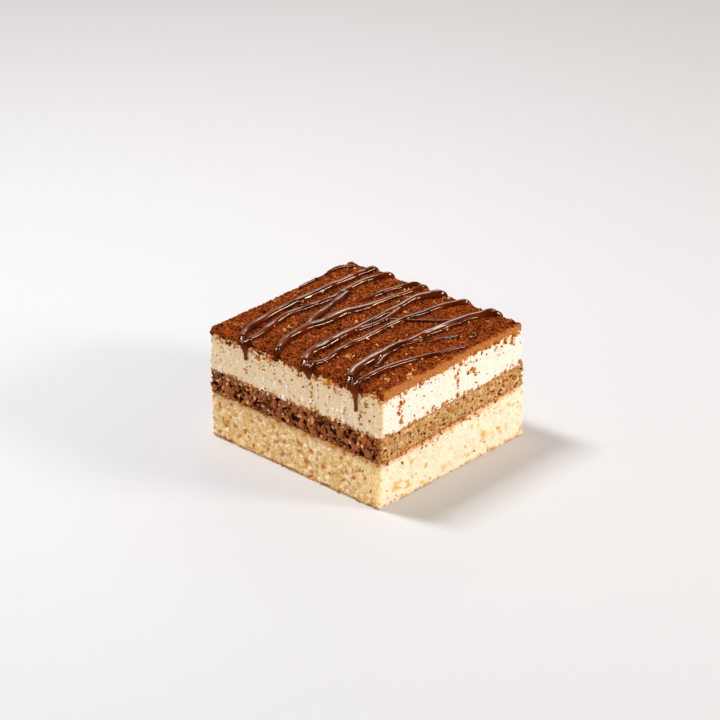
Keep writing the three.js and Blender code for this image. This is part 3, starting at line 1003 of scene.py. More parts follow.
def bed_piece(name, material):
    """The bed of cocoa as one grid, from the flat part past each edge to the rim and into the cream. One face
    closes it below."""
    slope = np.arange(1, SLOPE_STEPS + 1) / SLOPE_STEPS
    drop = 1 + np.arange(1, RIM_STEPS + 1) / RIM_STEPS
    edge = np.concatenate((slope, drop, TUCK_STEPS))
    flat_x, past_x = bed_axis(*BED_X, edge)
    flat_y, past_y = bed_axis(*BED_Y, edge)
    across, along = np.meshgrid(np.arange(len(flat_x)), np.arange(len(flat_y)))
    points, masks = cocoa_surface(flat_x[across], past_x[across], flat_y[along], past_y[along])
    rows, columns = across.shape
    number = np.arange(rows * columns).reshape(rows, columns)
    border = np.concatenate((number[0, :-1], number[:-1, -1], number[-1, :0:-1], number[:0:-1, 0]))[::-1]
    grid = quads(rows, columns, False)
    faces = grid.tolist() + [border.tolist()]
    piece = new_piece(name, points.reshape(-1, 3), faces, material, masks)
    flat = np.stack((across / columns, along / rows), axis=-1).reshape(-1, 2) * BED_SCALE
    foot = FOOT_SPOT + FOOT_SCALE * flat[border]
    bake_map(piece, np.concatenate((flat[grid].reshape(-1, 2), foot)))
    return piece


def blobs(centres, sizes, seed):
    """Small uneven lumps, one for each centre: a twenty-sided ball with its corners moved at random,
    stretched by its three sizes and turned at random."""
    draw = np.random.default_rng(seed)
    golden = (1 + math.sqrt(5)) / 2
    ring = [(0, s, t * golden) for s in (-1, 1) for t in (-1, 1)]
    ball = np.array([np.roll(p, k) for k in range(3) for p in ring]) / math.hypot(1, golden)
    gaps = np.linalg.norm(ball[:, None] - ball[None], axis=-1)
    near = gaps < gaps[gaps > 0].min() * 1.01
    count = len(ball)
    trios = [(a, b, c) for a in range(count) for b in range(a) for c in range(b)]
    sides = [(a, b, c) for a, b, c in trios if near[a, b] and near[b, c] and near[a, c]]
    sides = np.array([s if np.linalg.det(ball[list(s)]) > 0 else s[::-1] for s in sides])
    turns, _ = np.linalg.qr(draw.normal(size=(len(centres), 3, 3)))
    turns *= np.sign(np.linalg.det(turns))[:, None, None]
    corners = ball * (1 + draw.uniform(-UNEVEN, UNEVEN, (len(centres), count, 1)))
    points = centres[:, None] + (corners * sizes[:, None]) @ turns
    faces = (np.arange(len(centres))[:, None, None] * count + sides).reshape(-1, 3)
    return points.reshape(-1, 3), faces.tolist()


def lump_sizes(draw, count, small, large):
    """Three half sizes for each lump, most of them small."""
    middle = small + (large - small) * draw.random(count) ** SMALLNESS
    return middle[:, None] * draw.uniform(*STRETCH, (count, 3)) / 2


# Chocolate sauce


def sauce_sheet(x, s):
    """The sauce lies as a sheet would that is folded over the front and the back edge by a quarter turn.
    Gives the point at x and at the distance s along that sheet from the middle to the back, and the way that
    it faces."""
    side = np.where(s < 0, -1, 1)
    end = side * DEPTH / 2
    edge = side * place(x, end, np.full(x.shape, FULL_HEIGHT))[..., 1] + CLEARANCE
    flat = edge - FOLD_RADIUS
    reach = np.minimum(abs(s), flat)
    turn = np.clip((abs(s) - flat) / FOLD_RADIUS, 0, math.pi / 2)
    down = np.maximum(0, abs(s) - flat - FOLD_RADIUS * math.pi / 2)
    drop = FOLD_RADIUS * (1 - np.cos(turn)) + down
    height = between(COCOA_TOP, x, side * reach) - drop
    lean = place(x, end, height)[..., 1] - place(x, end, height + drop)[..., 1]
    y = side * (reach + FOLD_RADIUS * np.sin(turn)) + lean
    height = height + waves(x, side * reach) * np.cos(turn)
    facing = np.stack((0 * x, side * np.sin(turn), np.cos(turn)), axis=-1)
    return np.stack((x, y, height), axis=-1), facing


def bead(x, s, width, rise, lift, flatness):
    """A closed bead of sauce along stations: above the sheet half an ellipse of that flatness, 2 or more, and
    below it another one let in. The lift raises its upper half off the sheet."""
    middle, facing = sauce_sheet(x, s)
    along = np.gradient(middle, axis=0)
    across = np.cross(along, facing)
    across /= np.linalg.norm(across, axis=-1, keepdims=True)
    angle = np.linspace(0, 2 * math.pi, BEAD_SIDES, endpoint=False)
    dome = np.clip(1 - abs(np.cos(angle)) ** flatness, 0, 1) ** (1 / flatness)
    up = np.where(np.sin(angle) > 0, (rise + lift)[:, None], -SINK) * dome
    sideways = np.cos(angle) * width[:, None] / 2
    points = middle[:, None] + across[:, None] * sideways[..., None] + facing[:, None] * up[..., None]
    rows, columns = sideways.shape
    faces = quads(rows, columns, True).tolist()
    caps = [np.arange(columns)[::-1].tolist(), np.arange((rows - 1) * columns, rows * columns).tolist()]
    return points.reshape(-1, 3), faces + caps


def rounded(ends):
    """The share of its full size that a bead has near an end: a quarter circle from almost 0 to 1."""
    return np.sqrt(1 - (1 - np.clip(ends, 0.05, 1)) ** 2)


def strand(number, start, stop, x, width):
    """A strand from front to back, uneven in width, with round ends. It arches up at the back edge, and one
    that goes over the front edge thins out there."""
    s = np.arange(start, stop + STATION_STEP / 2, STATION_STEP)
    t = (s - start) / (stop - start)
    line = ground(s, 0 * s + WOBBLE_GAP * number)
    wide = SPREAD * curve(width, t) * (1 + waver(line, *WIDTH_WOBBLE))
    rise = RISE * wide / (1 + (RISE * wide / MOST_RISE) ** 3) ** (1 / 3)
    front_taper = FRONT_TAPER if start < -DEPTH / 2 else 1
    ending = rounded(np.minimum((s - start) / front_taper, stop - s) / (END_TAPER * wide))
    lift = ARCH * smooth(ARCH_START, DEPTH / 2, s) * ending
    across = curve(x, t) + waver(line, *PATH_WOBBLE)
    return bead(across, s, wide * ending, rise * ending, lift, STRAND_FLATNESS)


def drip(side, x, run, width, neck, drop):
    """A drip from the edge that narrows to a neck on its way down, a long one sooner, and ends in a drop."""
    edge = DEPTH / 2
    end = edge + run + FOLD_RADIUS * (math.pi / 2 - 2)
    s = np.arange(edge - DRIP_START, end, STATION_STEP)
    t = (s - s[0]) / (s[-1] - s[0])
    wide = neck + (width - neck) * (1 - t) ** (0.8 + run / 10) + (drop - neck) * smooth(*DROP_SWELL, t)
    rise = DRIP_THICKNESS * (1 - 0.3 * smooth(0.3, 0.7, t) + 0.2 * smooth(0.8, 0.95, t))
    ending = rounded(np.minimum(s - s[0], s[-1] - s) / (0.5 * drop))
    lined = slice(None) if side > 0 else slice(None, None, -1)
    wide, rise = (wide * ending)[lined], (rise * ending)[lined]
    return bead((x + DRIP_LEAN * t)[lined], side * s[lined], wide, rise, 0 * rise, DRIP_FLATNESS)


def joined(parts):
    """Several lists of points and faces as one."""
    points = np.concatenate([p for p, _ in parts])
    starts = np.cumsum([0] + [len(p) for p, _ in parts])
    faces = [[start + k for k in face] for start, (_, group) in zip(starts, parts) for face in group]
    return points, faces


def fused(points, faces, voxel):
    """Overlapping closed shapes as one skin, by an even grid of cells, with the grid's steps smoothed out."""
    mesh = bpy.data.meshes.new("unfused")
    mesh.from_pydata(points, [], faces)
    rough = bpy.data.objects.new("unfused", mesh)
    bpy.context.scene.collection.objects.link(rough)
    remesh = rough.modifiers.new("fuse", "REMESH")
    remesh.mode = "VOXEL"
    remesh.voxel_size = voxel
    settle = rough.modifiers.new("settle", "SMOOTH")
    settle.factor = SETTLE_SHARE
    settle.iterations = SETTLE_ROUNDS
    skin = rough.evaluated_get(bpy.context.evaluated_depsgraph_get()).to_mesh()
    corners = np.empty(len(skin.vertices) * 3, np.float32)
    skin.vertices.foreach_get("co", corners)
    around = np.empty(len(skin.loops), np.int32)
    skin.loops.foreach_get("vertex_index", around)
    bpy.data.objects.remove(rough)
    bpy.data.meshes.remove(mesh)
    return corners.reshape(-1, 3), around.reshape(-1, 4).tolist()


# Materials


def feed(tree, socket, value):
    """Sets a socket to a value, or links it to another socket."""
    if isinstance(value, bpy.types.NodeSocket):
        tree.links.new(value, socket)
    else:
        socket.default_value = value


def rgba(light):
    """A colour with full cover."""
    return (*light, 1)


def mask_of(tree, name):
    """The piece's own mask of that name."""
    reader = tree.nodes.new("ShaderNodeAttribute")
    reader.attribute_name = name
    return reader.outputs["Fac"]


def texture(tree, scale, detail=3):
    """Noise in the piece's own coordinates, with that many swells to the metre and finer ones by detail."""
    coordinates = tree.nodes.new("ShaderNodeTexCoord")
    noise = tree.nodes.new("ShaderNodeTexNoise")
    feed(tree, noise.inputs["Vector"], coordinates.outputs["Object"])
    noise.inputs["Scale"].default_value = scale
    noise.inputs["Detail"].default_value = detail
    return noise.outputs[0]


def ranged(tree, value, low, high, to_low=0, to_high=1):
    """A value taken from one range to another and kept inside it."""
    ramp = tree.nodes.new("ShaderNodeMapRange")
    for socket, number in zip(ramp.inputs, (value, low, high, to_low, to_high)):
        feed(tree, socket, number)
    return ramp.outputs[0]


def over(tree, under, cover, amount):
    """One colour covered by another as far as the amount says."""
    mix = tree.nodes.new("ShaderNodeMix")
    mix.data_type = "RGBA"
    for socket, value in zip((mix.inputs[0], mix.inputs[6], mix.inputs[7]), (amount, under, cover)):
        feed(tree, socket, value)
    return mix.outputs[2]


def painted(tree, look, tint, **coats):
    """A colour covered in turn by colours of the look, each as far as a value or the mask of a name says."""
    for name, amount in coats.items():
        amount = mask_of(tree, amount) if isinstance(amount, str) else amount
        tint = over(tree, tint, rgba(getattr(look, name)), amount)
    return tint


def worked_out(tree, operation, first, second):
    """Two values put together by an operation, such as MULTIPLY."""
    working = tree.nodes.new("ShaderNodeMath")
    working.operation = operation
    feed(tree, working.inputs[0], first)
    feed(tree, working.inputs[1], second)
    return working.outputs[0]


def grained(tree, under, scale, depth):
    """A colour made lighter and darker by fine noise."""
    mix = tree.nodes.new("ShaderNodeMix")
    mix.data_type = "RGBA"
    mix.blend_type = "MULTIPLY"
    mix.inputs[0].default_value = 1
    feed(tree, mix.inputs[6], under)
    feed(tree, mix.inputs[7], ranged(tree, texture(tree, scale), 0.3, 0.7, 1 - depth, 1 + depth))
    return mix.outputs[2]


def bumped(tree, shader, scale, distance):
    """Fine relief from noise, that high."""
    bump = tree.nodes.new("ShaderNodeBump")
    bump.inputs["Distance"].default_value = distance * MM
    feed(tree, bump.inputs["Height"], texture(tree, scale))
    feed(tree, shader.inputs["Normal"], bump.outputs[0])
    return bump


def new_material(name, roughness, shine, translucence=0.0):
    """A material with its shader: how rough it is, how much it mirrors, and how much light goes into it."""
    material = bpy.data.materials.new(name)
    material.use_nodes = True
    tree = material.node_tree
    shader = tree.nodes["Principled BSDF"]
    shader.inputs["Roughness"].default_value = roughness
    shader.inputs["Specular IOR Level"].default_value = shine
    shader.inputs["Subsurface Weight"].default_value = translucence
    shader.inputs["Subsurface Radius"].default_value = LIGHT_SHARES
    shader.inputs["Subsurface Scale"].default_value = LIGHT_REACH * MM
    return material, tree, shader


def sponge_material(look):
    """Milk-soaked crumb: lumps of uneven tone, warm pores, toasted spots, a stain below the coffee, painted
    shade in the darker colour of the torn sides, and a painted glow at the right front corner.
    """
    material, tree, shader = new_material("sponge_crumb", roughness=0.85, shine=0.15, translucence=0.2)
    tone = mask_of(tree, "tone")
    tint = painted(
        tree, look, rgba(look.crumb), soaked="torn", pale=ranged(tree, tone, 0.52, 0.85),
        tan=ranged(tree, tone, 0.45, 0.05, 0, 0.8), glow="glow",
        stained=ranged(tree, mask_of(tree, "stained"), 0, 1, 0, 0.7), hollow="hollow", toasted="toasted",
        fleck="fleck", base="base"
    )
    feed(tree, shader.inputs["Base Color"], grained(tree, tint, scale=1400, depth=0.1))
    bumped(tree, shader, scale=1800, distance=0.12)
    return material


def coffee_material(look):
    """Coffee-soaked crumb: lumps from dark to wet where torn, tan where cut, and painted shade, near black,
    in the holes and pores.
    """
    material, tree, shader = new_material("coffee_crumb", roughness=0.75, shine=0.1, translucence=0.05)
    tone = mask_of(tree, "tone")
    hole = mask_of(tree, "hole")
    craggy = painted(
        tree, look, rgba(look.soaked), dark=ranged(tree, tone, 0.5, 0.28), wet=ranged(tree, tone, 0.58, 0.75)
    )
    smoothed = painted(
        tree, look, rgba(look.cut), warm=ranged(tree, tone, 0.45, 0.2), dry=ranged(tree, tone, 0.5, 0.75)
    )
    tint = over(tree, smoothed, craggy, mask_of(tree, "torn"))
    tint = painted(tree, look, tint, tan="tan", rim="rim")
    tint = painted(tree, look, tint, rim=ranged(tree, hole, 0.02, 0.2))
    # Painted shade inside the holes and pores.
    inside = painted(tree, look, rgba(look.open_pore), pore="torn")
    tint = over(tree, tint, inside, ranged(tree, hole, 0.15, 0.45))
    feed(tree, shader.inputs["Base Color"], grained(tree, tint, scale=900, depth=0.35))
    bumped(tree, shader, scale=1500, distance=0.15)
    return material


def cream_material(look):
    """Whipped cream with whiter lumps, partly painted highlight, dusted with fine specks of cocoa below the
    edge, with painted shade in the colour of its torn sides and a painted glow at the right front corner.
    """
    material, tree, shader = new_material("whipped_cream", roughness=0.5, shine=0.3, translucence=0.3)
    white = mask_of(tree, "white")
    feed(tree, shader.inputs["Roughness"], ranged(tree, white, 0.3, 0.9, 0.5, 0.2))
    level = ranged(tree, mask_of(tree, "dust"), 0, 1, 0.7, 0.56)
    specks = ranged(tree, worked_out(tree, "SUBTRACT", texture(tree, 1300, detail=2), level), 0, 0.05)
    tint = painted(tree, look, rgba(look.cream), stained="torn", white=white, glow="glow", dust=specks)
    feed(tree, shader.inputs["Base Color"], grained(tree, tint, scale=1100, depth=0.09))
    bumped(tree, shader, scale=1300, distance=0.16)
    return material


def cocoa_material(look):
    """Cocoa powder: painted shade in the pits, in fine dark dots and beside the sauce, paler in dry patches,
    smooth and lighter along the wiped edge.
    """
    material, tree, shader = new_material("cocoa_powder", roughness=0.95, shine=0.02)
    # Fine dark dots of painted shade between the grains.
    specks = ranged(tree, texture(tree, 1500, detail=1), 0.5, 0.64)
    # Painted shade beside the sauce and in some hollows.
    wetness = ranged(tree, mask_of(tree, "damp"), 0, 1, 0, 0.75)
    tint = painted(tree, look, rgba(look.powder), dry="dry", pit="pit")
    tint = painted(tree, look, tint, pit=specks, damp=wetness)
    wiped = mask_of(tree, "wiped")
    powdery = grained(tree, tint, scale=950, depth=0.55)
    smeared = grained(tree, rgba(look.smeared), scale=1500, depth=0.28)
    feed(tree, shader.inputs["Base Color"], over(tree, powdery, smeared, wiped))
    bump = bumped(tree, shader, scale=1300, distance=0.4)
    feed(tree, bump.inputs["Strength"], ranged(tree, wiped, 0, 1, 1, 0.4))
    return material


def sauce_material(look):
    """Glossy dark chocolate sauce, lighter where it is thin."""
    material, tree, shader = new_material("chocolate_sauce", roughness=look.gloss, shine=0.38)
    thin = ranged(tree, texture(tree, 110, detail=1), 0.3, 0.8, 0.05, 0.55)
    tint = painted(tree, look, rgba(look.sauce), amber=thin, drips="drips")
    feed(tree, shader.inputs["Base Color"], tint)
    bumped(tree, shader, scale=260, distance=0.03)
    shader.inputs["IOR"].default_value = 1.5
    return material


def bits_material(name, light, dark):
    """Loose bits, each of its own tone between a light and a dark one."""
    material, tree, shader = new_material(name, roughness=0.85, shine=0.1)
    geometry = tree.nodes.new("ShaderNodeNewGeometry")
    tint = over(tree, rgba(light), rgba(dark), geometry.outputs["Random Per Island"])
    feed(tree, shader.inputs["Base Color"], grained(tree, tint, scale=900, depth=0.2))
    bumped(tree, shader, scale=2200, distance=0.06)
    return material


# Loose bits


def on_the_bed(draw, count):
    """Drawn places on the flat part of the bed of cocoa."""
    x = draw.uniform(*BED_X, count)
    y = draw.uniform(*BED_Y, count)
    return np.stack((x, y))


def bed_points(places):
    """Points of the bed of cocoa at places on its flat part."""
    x, y = places
    points, _ = cocoa_surface(x, 0 * x, y, 0 * y)
    return points


def on_the_torn_sides(draw, count):
    """Drawn distances round the outline, on the front and the left side only."""
    front = draw.random(count) < FRONT_RUN / (FRONT_RUN + SIDE_RUN)
    along = draw.random(count)
    return np.where(front, FRONT_RUN * along, ROUND_TRIP - SIDE_RUN * along)


def by_side(pair, distance):
    """A value that is the first of a pair on the clean-cut sides and the second on the torn ones."""
    _, out = outline(distance)
    cut, rough = pair
    return cut + (rough - cut) * torn(out)


def side_points(relief, distance, height, low, high):
    """Points of a layer's side, moved by its relief. The layer's foot and top are at low and high."""
    point, facing = wall(distance, height)
    offset, _ = relief(point, facing, height - low, high - height)
    return point + facing * offset[:, None]


def sunk_points(distance, height, depth):
    """Points that lie inside the plain cut side by a depth."""
    point, facing = wall(distance, height)
    return point - depth * facing


def dice_and_widths(name):
    """The dice for one kind of loose bits, and their smallest and largest width."""
    seed, *widths = BITS[name]
    return np.random.default_rng(seed), widths


def strew(name, centres, sizes, light, dark):
    """Makes one kind of loose bits as one piece, each bit of its own tone between a light and a dark one."""
    seed, _, _ = BITS[name]
    points, faces = blobs(centres, sizes, seed + 1)
    new_piece(name, points, faces, bits_material(name, light, dark))


# Stage


def add_floor(scene, look):
    """A wide pale floor, which gloss doesn't mirror."""
    corners = [(x * FLOOR_HALF, y * FLOOR_HALF, 0) for x, y in ((-1, -1), (1, -1), (1, 1), (-1, 1))]
    mesh = bpy.data.meshes.new("floor")
    mesh.from_pydata(corners, [], [(0, 1, 2, 3)])
    material, _, shader = new_material("floor", FLOOR_ROUGHNESS, FLOOR_SHINE)
    shader.inputs["Base Color"].default_value = rgba(look.floor)
    mesh.materials.append(material)
    floor = bpy.data.objects.new("floor", mesh)
    scene.collection.objects.link(floor)
    floor.visible_glossy = False


def set_lights(scene, look):
    """Surroundings that are white behind and warm in front, dark overhead and dim in gloss, and the lamps."""
    world = bpy.data.worlds.new("surroundings")
    world.use_nodes = True
    tree = world.node_tree
    sky = tree.nodes["Background"]
    coordinates = tree.nodes.new("ShaderNodeTexCoord")
    along = tree.nodes.new("ShaderNodeVectorMath")
    along.operation = "DOT_PRODUCT"
    along.inputs[1].default_value = WALL_WAY
    split = tree.nodes.new("ShaderNodeSeparateXYZ")
    feed(tree, along.inputs[0], coordinates.outputs["Generated"])
    feed(tree, split.inputs[0], coordinates.outputs["Generated"])
    behind = ranged(tree, along.outputs["Value"], *WALL_BLEND)
    feed(tree, sky.inputs["Color"], over(tree, rgba(look.warm), rgba(WALL_WHITE), behind))
    low = ranged(tree, split.outputs["Z"], *DARK_ABOVE, 1, DARK_LIGHT)
    path = tree.nodes.new("ShaderNodeLightPath")
    mirrored = ranged(tree, path.outputs["Is Glossy Ray"], 0, 1, 1, look.mirrored)
    power = ranged(tree, behind, 0, 1, look.front_light, look.wall_light)
    dimmed = worked_out(tree, "MULTIPLY", low, mirrored)
    feed(tree, sky.inputs["Strength"], worked_out(tree, "MULTIPLY", dimmed, power))
    scene.world = world
    for name, row in LAMPS.items():
        add_lamp(scene, name, look.lamps, *row)
    scene.view_settings.view_transform = "Standard"


def add_lamp(scene, name, share_of_power, power, size, spot, tint, lights_cake):
    """An oblong soft lamp at a spot, turned to the cake. One that doesn't light the cake only shows in
    gloss."""
    lamp = bpy.data.lights.new(name, "AREA")
    lamp.energy = share_of_power * power
    lamp.color = tint
    lamp.shape = "RECTANGLE"
    lamp.size, lamp.size_y = size
    holder = bpy.data.objects.new(name, lamp)
    holder.location = spot
    holder.rotation_euler = (Vector(LAMP_AIM) - holder.location).to_track_quat("-Z", "Y").to_euler()
    holder.visible_diffuse = lights_cake
    scene.collection.objects.link(holder)


def set_camera(scene, look):
    """The camera stands right of the front corner, looks down on the cake, and is shifted to frame it."""
    data = bpy.data.cameras.new("camera")
    data.lens = look.lens
    data.sensor_width = SENSOR_WIDTH
    data.shift_x, data.shift_y = CAMERA_SHIFT
    turn = math.radians(CAMERA_TURN)
    rise = math.radians(CAMERA_RISE)
    away = Vector((math.sin(turn) * math.cos(rise), -math.cos(turn) * math.cos(rise), math.sin(rise)))
    camera = bpy.data.objects.new("camera", data)
    camera.location = Vector(CAMERA_AIM) + CAMERA_DISTANCE * away
    camera.rotation_euler = (-away).to_track_quat("-Z", "Y").to_euler()
    scene.collection.objects.link(camera)
    scene.camera = camera


# Operators


class CAKE_OT_sponge(bpy.types.Operator):
    """Makes the pale sponge at the bottom"""

    bl_idname = "cake.sponge"
    bl_label = "Bottom sponge"

    def execute(self, context):
        material = sponge_material(context.scene.sponge_look)
        piece = layer_piece(
            "sponge_crumb", base_line, sponge_line, SPONGE_ROWS, sponge_relief, material
        )
        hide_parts("bottom_sponge")
        return {"FINISHED"}


class CAKE_OT_coffee(bpy.types.Operator):
    """Makes the coffee-soaked sponge"""

    bl_idname = "cake.coffee"
    bl_label = "Coffee sponge"

    def execute(self, context):
        material = coffee_material(context.scene.coffee_look)
        piece = layer_piece(
            "coffee_crumb", sponge_line, coffee_line, COFFEE_ROWS, coffee_relief, material
        )
        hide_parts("coffee_sponge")
        return {"FINISHED"}


class CAKE_OT_cream(bpy.types.Operator):
    """Makes the whipped cream"""

    bl_idname = "cake.cream"
    bl_label = "Whipped cream"

    def execute(self, context):
        material = cream_material(context.scene.cream_look)
        piece = layer_piece(
            "whipped_cream", coffee_line, cream_line, CREAM_ROWS, cream_relief, material
        )
        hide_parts("cream_layer")
        return {"FINISHED"}


class CAKE_OT_cocoa(bpy.types.Operator):
    """Makes the bed of cocoa"""

    bl_idname = "cake.cocoa"
    bl_label = "Bed of cocoa"

    def execute(self, context):
        piece = bed_piece("cocoa_bed", cocoa_material(context.scene.cocoa_look))
        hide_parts("cocoa_top")
        return {"FINISHED"}


class CAKE_OT_drizzle(bpy.types.Operator):
    """Makes the strands and drips of chocolate sauce"""

    bl_idname = "cake.drizzle"
    bl_label = "Chocolate drizzle"

    def execute(self, context):
        look = context.scene.sauce_look
        parts = [strand(k, *row) for k, row in enumerate(STRANDS)]
        parts += [drip(-1, *row) for row in FRONT_DRIPS]
        parts += [drip(1, *row) for row in BACK_DRIPS]
        points, faces = fused(*joined(parts), look.voxel / MM)
        masks = {"drips": fade(*DRIP_FADE, points[:, 2])}
        piece = new_piece("chocolate_drizzle", points, faces, sauce_material(look), masks)
        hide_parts("cocoa_top")
        return {"FINISHED"}


class CAKE_OT_grains(bpy.types.Operator):
    """Strews loose cocoa grains over the bed"""

    bl_idname = "cake.grains"
    bl_label = "Cocoa grains"

    def execute(self, context):
        look = context.scene.cocoa_look
        draw, widths = dice_and_widths("cocoa_grains")
        centres = bed_points(on_the_bed(draw, look.grains))
        sizes = lump_sizes(draw, look.grains, *widths)
        # The darkest grains take the colour of the painted shade in the pits.
        strew("cocoa_grains", centres, sizes, look.dry, look.pit)
        return {"FINISHED"}


class CAKE_OT_clumps(bpy.types.Operator):
    """Strews pale dry clumps over the bed of cocoa"""

    bl_idname = "cake.clumps"
    bl_label = "Cocoa clumps"

    def execute(self, context):
        look = context.scene.cocoa_look
        draw, widths = dice_and_widths("cocoa_clumps")
        places = [on_the_bed(draw, look.clumps)]
        for x, y, spread, count in CLUMP_HEAPS:
            places.append(np.array((x, y))[:, None] + spread * draw.normal(size=(2, count)))
        centres = bed_points(np.concatenate(places, axis=1))
        sizes = lump_sizes(draw, len(centres), *widths)
        strew("cocoa_clumps", centres, sizes, look.clump, look.dry)
        return {"FINISHED"}


class CAKE_OT_specks(bpy.types.Operator):
    """Strews cocoa specks, trails and dust over the sides of the cream"""

    bl_idname = "cake.specks"
    bl_label = "Cocoa specks"

    def execute(self, context):
        look = context.scene.cocoa_look
        draw, widths = dice_and_widths("cocoa_specks")
        small, large = TRAIL_SIZES
        places = []
        sizes = []
        sides = ((along_front, FRONT_TRAILS, FRONT_DOTS), (along_right, RIGHT_TRAILS, RIGHT_DOTS))
        for locate, trails, dots in sides:
            for middle, top, foot, spread, count in trails:
                distance = locate(middle + spread * draw.normal(size=count) / 2)
                places.append(np.stack((distance, draw.uniform(foot, top, count)), axis=-1))
                grown = large + TRAIL_GROWTH * min(spread, WIDEST_GROWTH)
                sizes.append(lump_sizes(draw, count, small, grown))
            middle, height, size = np.array(dots).T
            places.append(np.stack((locate(middle), height), axis=-1))
            sizes.append(size[:, None] * draw.uniform(*DOT_STRETCH, (len(dots), 3)) / 2)
        for count, depth, only_torn in SPECK_GROUPS:
            distance = on_the_torn_sides(draw, count) if only_torn else draw.uniform(0, ROUND_TRIP, count)
            height = cream_line(distance) + SPECK_LAP - draw.exponential(depth, count)
            places.append(np.stack((distance, height), axis=-1))
            sizes.append(lump_sizes(draw, count, *widths))
        distance, height = np.concatenate(places).T
        low = coffee_line(distance)
        high = cream_line(distance)
        height = np.clip(height, low, high + HIGHEST_SPECK)
        centres = side_points(cream_relief, distance, height, low, high)
        strew("cocoa_specks", centres, np.concatenate(sizes), look.dry_speck, look.speck)
        return {"FINISHED"}


class CAKE_OT_crumbs(bpy.types.Operator):
    """Strews coffee-brown crumbs along both boundaries of the coffee sponge"""

    bl_idname = "cake.crumbs"
    bl_label = "Coffee crumbs"

    def execute(self, context):
        look = context.scene.coffee_look
        draw, widths = dice_and_widths("coffee_crumbs")
        distance = draw.uniform(0, ROUND_TRIP, look.crumbs)
        upper = draw.random(look.crumbs) < by_side(UPPER_CRUMBS, distance)
        hang = draw.exponential(by_side(CRUMB_SPREAD, distance), look.crumbs) - CRUMB_LAP
        height = np.where(upper, coffee_line(distance) + hang, sponge_line(distance) - hang)
        centres = sunk_points(distance, height, CRUMB_SINK)
        sizes = lump_sizes(draw, look.crumbs, *widths) * by_side(CRUMB_GROWTH, distance)[:, None]
        strew("coffee_crumbs", centres, sizes, look.crumb, look.warm)
        return {"FINISHED"}


class CAKE_OT_lumps(bpy.types.Operator):
    """Strews lumps of cream along the top of the coffee sponge, most of them on its torn sides"""

    bl_idname = "cake.lumps"
    bl_label = "Cream lumps"

    def execute(self, context):
        look = context.scene.cream_look
        draw, widths = dice_and_widths("cream_lumps")
        hanging = on_the_torn_sides(draw, look.lumps)
        distance = np.concatenate((hanging, draw.uniform(0, ROUND_TRIP, look.stray_lumps)))
        height = coffee_line(distance) + LUMP_LAP - draw.exponential(LUMP_SPREAD, len(distance))
        centres = sunk_points(distance, height, LUMP_SINK)
        sizes = lump_sizes(draw, len(distance), *widths)
        strew("cream_lumps", centres, sizes, look.stained, look.dust)
        return {"FINISHED"}


class CAKE_OT_bits(bpy.types.Operator):
    """Strews tan crumbs over the torn sides of the coffee sponge"""

    bl_idname = "cake.bits"
    bl_label = "Tan crumbs"

    def execute(self, context):
        look = context.scene.coffee_look
        draw, widths = dice_and_widths("tan_crumbs")
        distance = on_the_torn_sides(draw, look.bits)
        low = sponge_line(distance)
        high = coffee_line(distance)
        height = low + (high - low) * draw.random(look.bits)
        centres = side_points(coffee_relief, distance, height, low, high)
        sizes = lump_sizes(draw, look.bits, *widths)
        strew("tan_crumbs", centres, sizes, look.tan, look.soaked)
        return {"FINISHED"}


class CAKE_OT_toasted(bpy.types.Operator):
    """Strews toasted crumbs along the foot of the sponge and over its clean-cut sides"""

    bl_idname = "cake.toasted"
    bl_label = "Toasted crumbs"

    def execute(self, context):
        look = context.scene.sponge_look
        draw, widths = dice_and_widths("toasted_crumbs")
        distance = draw.uniform(0, ROUND_TRIP, look.crumbs)
        at_foot = draw.random(look.crumbs) < by_side(FOOT_CRUMBS, distance)
        high = sponge_line(distance)
        above_foot = draw.exponential(FOOT_SPREAD, look.crumbs)
        height = np.where(at_foot, above_foot, high * draw.random(look.crumbs))
        sizes = lump_sizes(draw, look.crumbs, *widths)
        height = np.clip(height, (1 + UNEVEN) * sizes.max(axis=1), high)
        centres = side_points(sponge_relief, distance, height, 0, high)
        strew("toasted_crumbs", centres, sizes, look.golden, look.crisp)
        return {"FINISHED"}


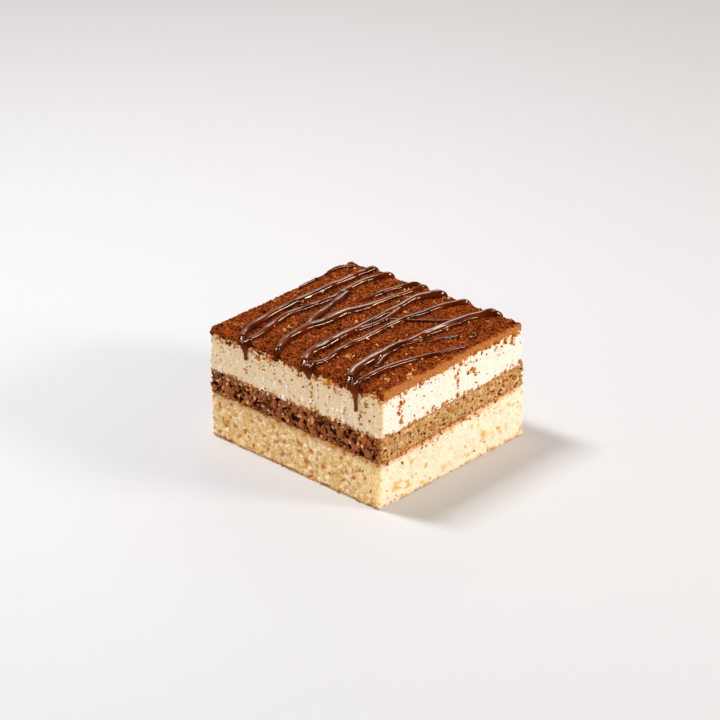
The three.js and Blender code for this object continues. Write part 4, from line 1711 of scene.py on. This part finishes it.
class CAKE_OT_stage(bpy.types.Operator):
    """Sets the floor, the light and the camera"""

    bl_idname = "cake.stage"
    bl_label = "Stage"

    def execute(self, context):
        look = context.scene.stage_look
        add_floor(context.scene, look)
        set_lights(context.scene, look)
        set_camera(context.scene, look)
        return {"FINISHED"}


# Panel and registration

LOOKS = {
    "sponge_look": SpongeLook,
    "coffee_look": CoffeeLook,
    "cream_look": CreamLook,
    "cocoa_look": CocoaLook,
    "sauce_look": SauceLook,
    "stage_look": StageLook,
}
MAKERS = (
    CAKE_OT_sponge,
    CAKE_OT_coffee,
    CAKE_OT_cream,
    CAKE_OT_cocoa,
    CAKE_OT_drizzle,
    CAKE_OT_grains,
    CAKE_OT_clumps,
    CAKE_OT_specks,
    CAKE_OT_crumbs,
    CAKE_OT_lumps,
    CAKE_OT_bits,
    CAKE_OT_toasted,
    CAKE_OT_stage,
)


class CAKE_PT_panel(bpy.types.Panel):
    """Lists the makers of the cake's pieces"""

    bl_label = "Tiramisu Milk Cake"
    bl_idname = "CAKE_PT_panel"
    bl_space_type = "VIEW_3D"
    bl_region_type = "UI"
    bl_category = "Cake"

    def draw(self, context):
        for maker in MAKERS:
            self.layout.operator(maker.bl_idname)


def register():
    """Registers the looks, the makers and the panel."""
    for name, group in LOOKS.items():
        bpy.utils.register_class(group)
        setattr(bpy.types.Scene, name, PointerProperty(type=group))
    for maker in (*MAKERS, CAKE_PT_panel):
        bpy.utils.register_class(maker)


def unregister():
    """Removes what register added."""
    for maker in (CAKE_PT_panel, *reversed(MAKERS)):
        bpy.utils.unregister_class(maker)
    for name, group in LOOKS.items():
        delattr(bpy.types.Scene, name)
        bpy.utils.unregister_class(group)


def main():
    """Makes every piece and the stage."""
    register()
    bpy.ops.cake.sponge()
    bpy.ops.cake.coffee()
    bpy.ops.cake.cream()
    bpy.ops.cake.cocoa()
    bpy.ops.cake.drizzle()
    bpy.ops.cake.grains()
    bpy.ops.cake.clumps()
    bpy.ops.cake.specks()
    bpy.ops.cake.crumbs()
    bpy.ops.cake.lumps()
    bpy.ops.cake.bits()
    bpy.ops.cake.toasted()
    bpy.ops.cake.stage()


if __name__ == "__main__":
    main()
